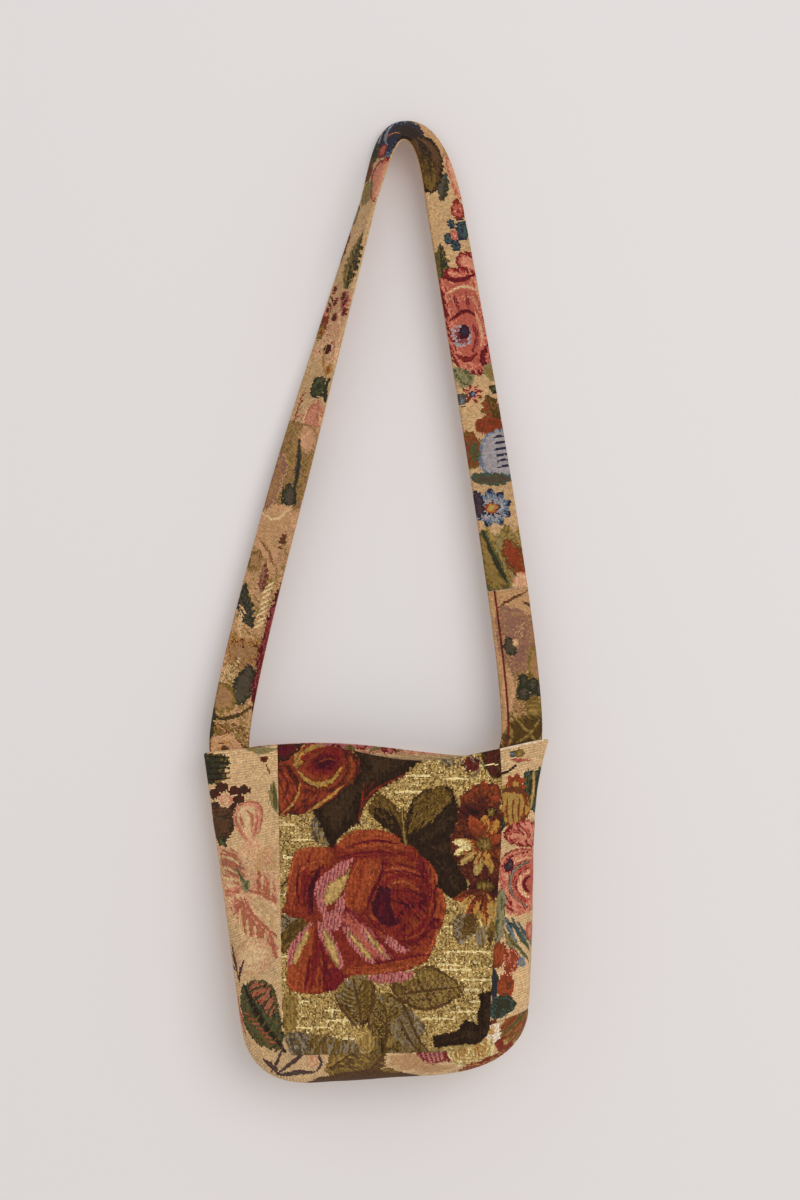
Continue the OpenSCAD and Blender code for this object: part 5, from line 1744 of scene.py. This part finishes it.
# The seven cloth pieces
front_yarn = drawn(draw_front, middles(on_chart(front_rows)), 11, 1)
front = woven("front_cloth", front_rows, front_yarn, wall_t)
back_yarn = drawn(draw_back, middles(on_chart(back_rows)), 23)
back = woven("back_cloth", back_rows, back_yarn, wall_t)
main_yarn = drawn(draw_gusset, middles(main_chart), 37)
main = woven("main_cloth", main_rows, main_yarn, wall_t)
right_yarn = drawn(draw_right_gusset, middles(right_chart), 41)
right = woven("right_cloth", right_rows, right_yarn, wall_t)
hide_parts("front_panel")
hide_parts("back_panel")
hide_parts("main_gusset")
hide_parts("right_gusset")
fold_end = edge_fold_w + edge_fold_t - strap_w / 2
for name, start, end, slot, draw, seed in (
    ("strap_left", 0, left_join - seam_gap, "tan_tapestry", draw_tan_strap, 53),
    ("strap_middle", left_join, right_join, "strap_tapestry", draw_strap, 59),
    ("strap_right", right_join + seam_gap, strap_length, "tan_tapestry", draw_tan_strap, 61),
):
    rings, strap_s, section = strap_points(start, end, stitch)
    along = (strap_s[:-1] + strap_s[1:]) / 2 - crown_at
    step = (section[:-1] + section[1:]) / 2
    round_at = lengths(section) + fold_end
    round_at = (round_at[:-1] + round_at[1:]) / 2
    round_at = np.where((step[:, 0] < fold_end) & (step[:, 1] > 0), step[:, 0], round_at)
    round_at = np.where(round_at < 0, round_at * inner_share, round_at)
    places = np.stack(np.meshgrid(along, round_at, indexing="ij"), axis=-1) / chart_stitch
    strap_yarn = drawn(draw, places, seed)
    strap = woven(name + "_cloth", rings, strap_yarn, 0)
    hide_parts(name)

# A pale backdrop, seen only from its front, and a large soft lamp at the upper right
backdrop_y = 0.0225
backdrop_half = 4
middle_z = -0.4
bm = bmesh.new()
bmesh.ops.create_grid(bm, x_segments=1, y_segments=1, size=backdrop_half)
bmesh.ops.rotate(bm, verts=bm.verts, matrix=Matrix.Rotation(math.pi / 2, 3, "X"))
bmesh.ops.translate(bm, verts=bm.verts, vec=(0, backdrop_y, middle_z))
backdrop_mesh = bpy.data.meshes.new("backdrop")
bm.to_mesh(backdrop_mesh)
bm.free()
backdrop = bpy.data.objects.new("backdrop", backdrop_mesh)
bpy.context.scene.collection.objects.link(backdrop)
backdrop.visible_shadow = False
backdrop.visible_diffuse = False
paint = bpy.data.materials.new("backdrop_paint")
paint.use_nodes = True
paint_tree = paint.node_tree
plaster = paint_tree.nodes["Principled BSDF"]
plaster.inputs["Base Color"].default_value = (*yarn(226, 221, 221), 1)
plaster.inputs["Roughness"].default_value = 1
plaster.inputs["Specular IOR Level"].default_value = 0
clear = paint_tree.nodes.new("ShaderNodeBsdfTransparent")
either = paint_tree.nodes.new("ShaderNodeMixShader")
paint_tree.links.new(paint_tree.nodes.new("ShaderNodeNewGeometry").outputs["Backfacing"], either.inputs[0])
paint_tree.links.new(plaster.outputs[0], either.inputs[1])
paint_tree.links.new(clear.outputs[0], either.inputs[2])
paint_tree.links.new(either.outputs[0], paint_tree.nodes["Material Output"].inputs["Surface"])
backdrop_mesh.materials.append(paint)

key_spot = Vector((2.4, -4.6, 0.9))
key_aim = Vector((0, 0, -0.5))
key = bpy.data.lights.new("key", "AREA")
key.energy = 104
key.size = 4
key_object = bpy.data.objects.new("key", key)
key_object.location = key_spot
key_object.rotation_euler = (key_aim - key_spot).to_track_quat("-Z", "Y").to_euler()
bpy.context.scene.collection.objects.link(key_object)

world = bpy.data.worlds.new("room")
bpy.context.scene.world = world
world.use_nodes = True
world.node_tree.nodes["Background"].inputs["Color"].default_value = (1, 0.99, 0.98, 1)
world.node_tree.nodes["Background"].inputs["Strength"].default_value = 0.72

# The camera, where the drawing is seen from
camera_far = -seen_from[1] * MM
frame_h = 1.032
sensor_h = 36
camera_data = bpy.data.cameras.new("camera")
camera_data.sensor_fit = "VERTICAL"
camera_data.sensor_height = sensor_h
camera_data.lens = sensor_h * camera_far / frame_h
camera = bpy.data.objects.new("camera", camera_data)
camera.location = seen_from * MM
camera.rotation_euler = (math.pi / 2, 0, 0)
bpy.context.scene.collection.objects.link(camera)
bpy.context.scene.camera = camera
bpy.context.scene.view_settings.view_transform = "Standard"
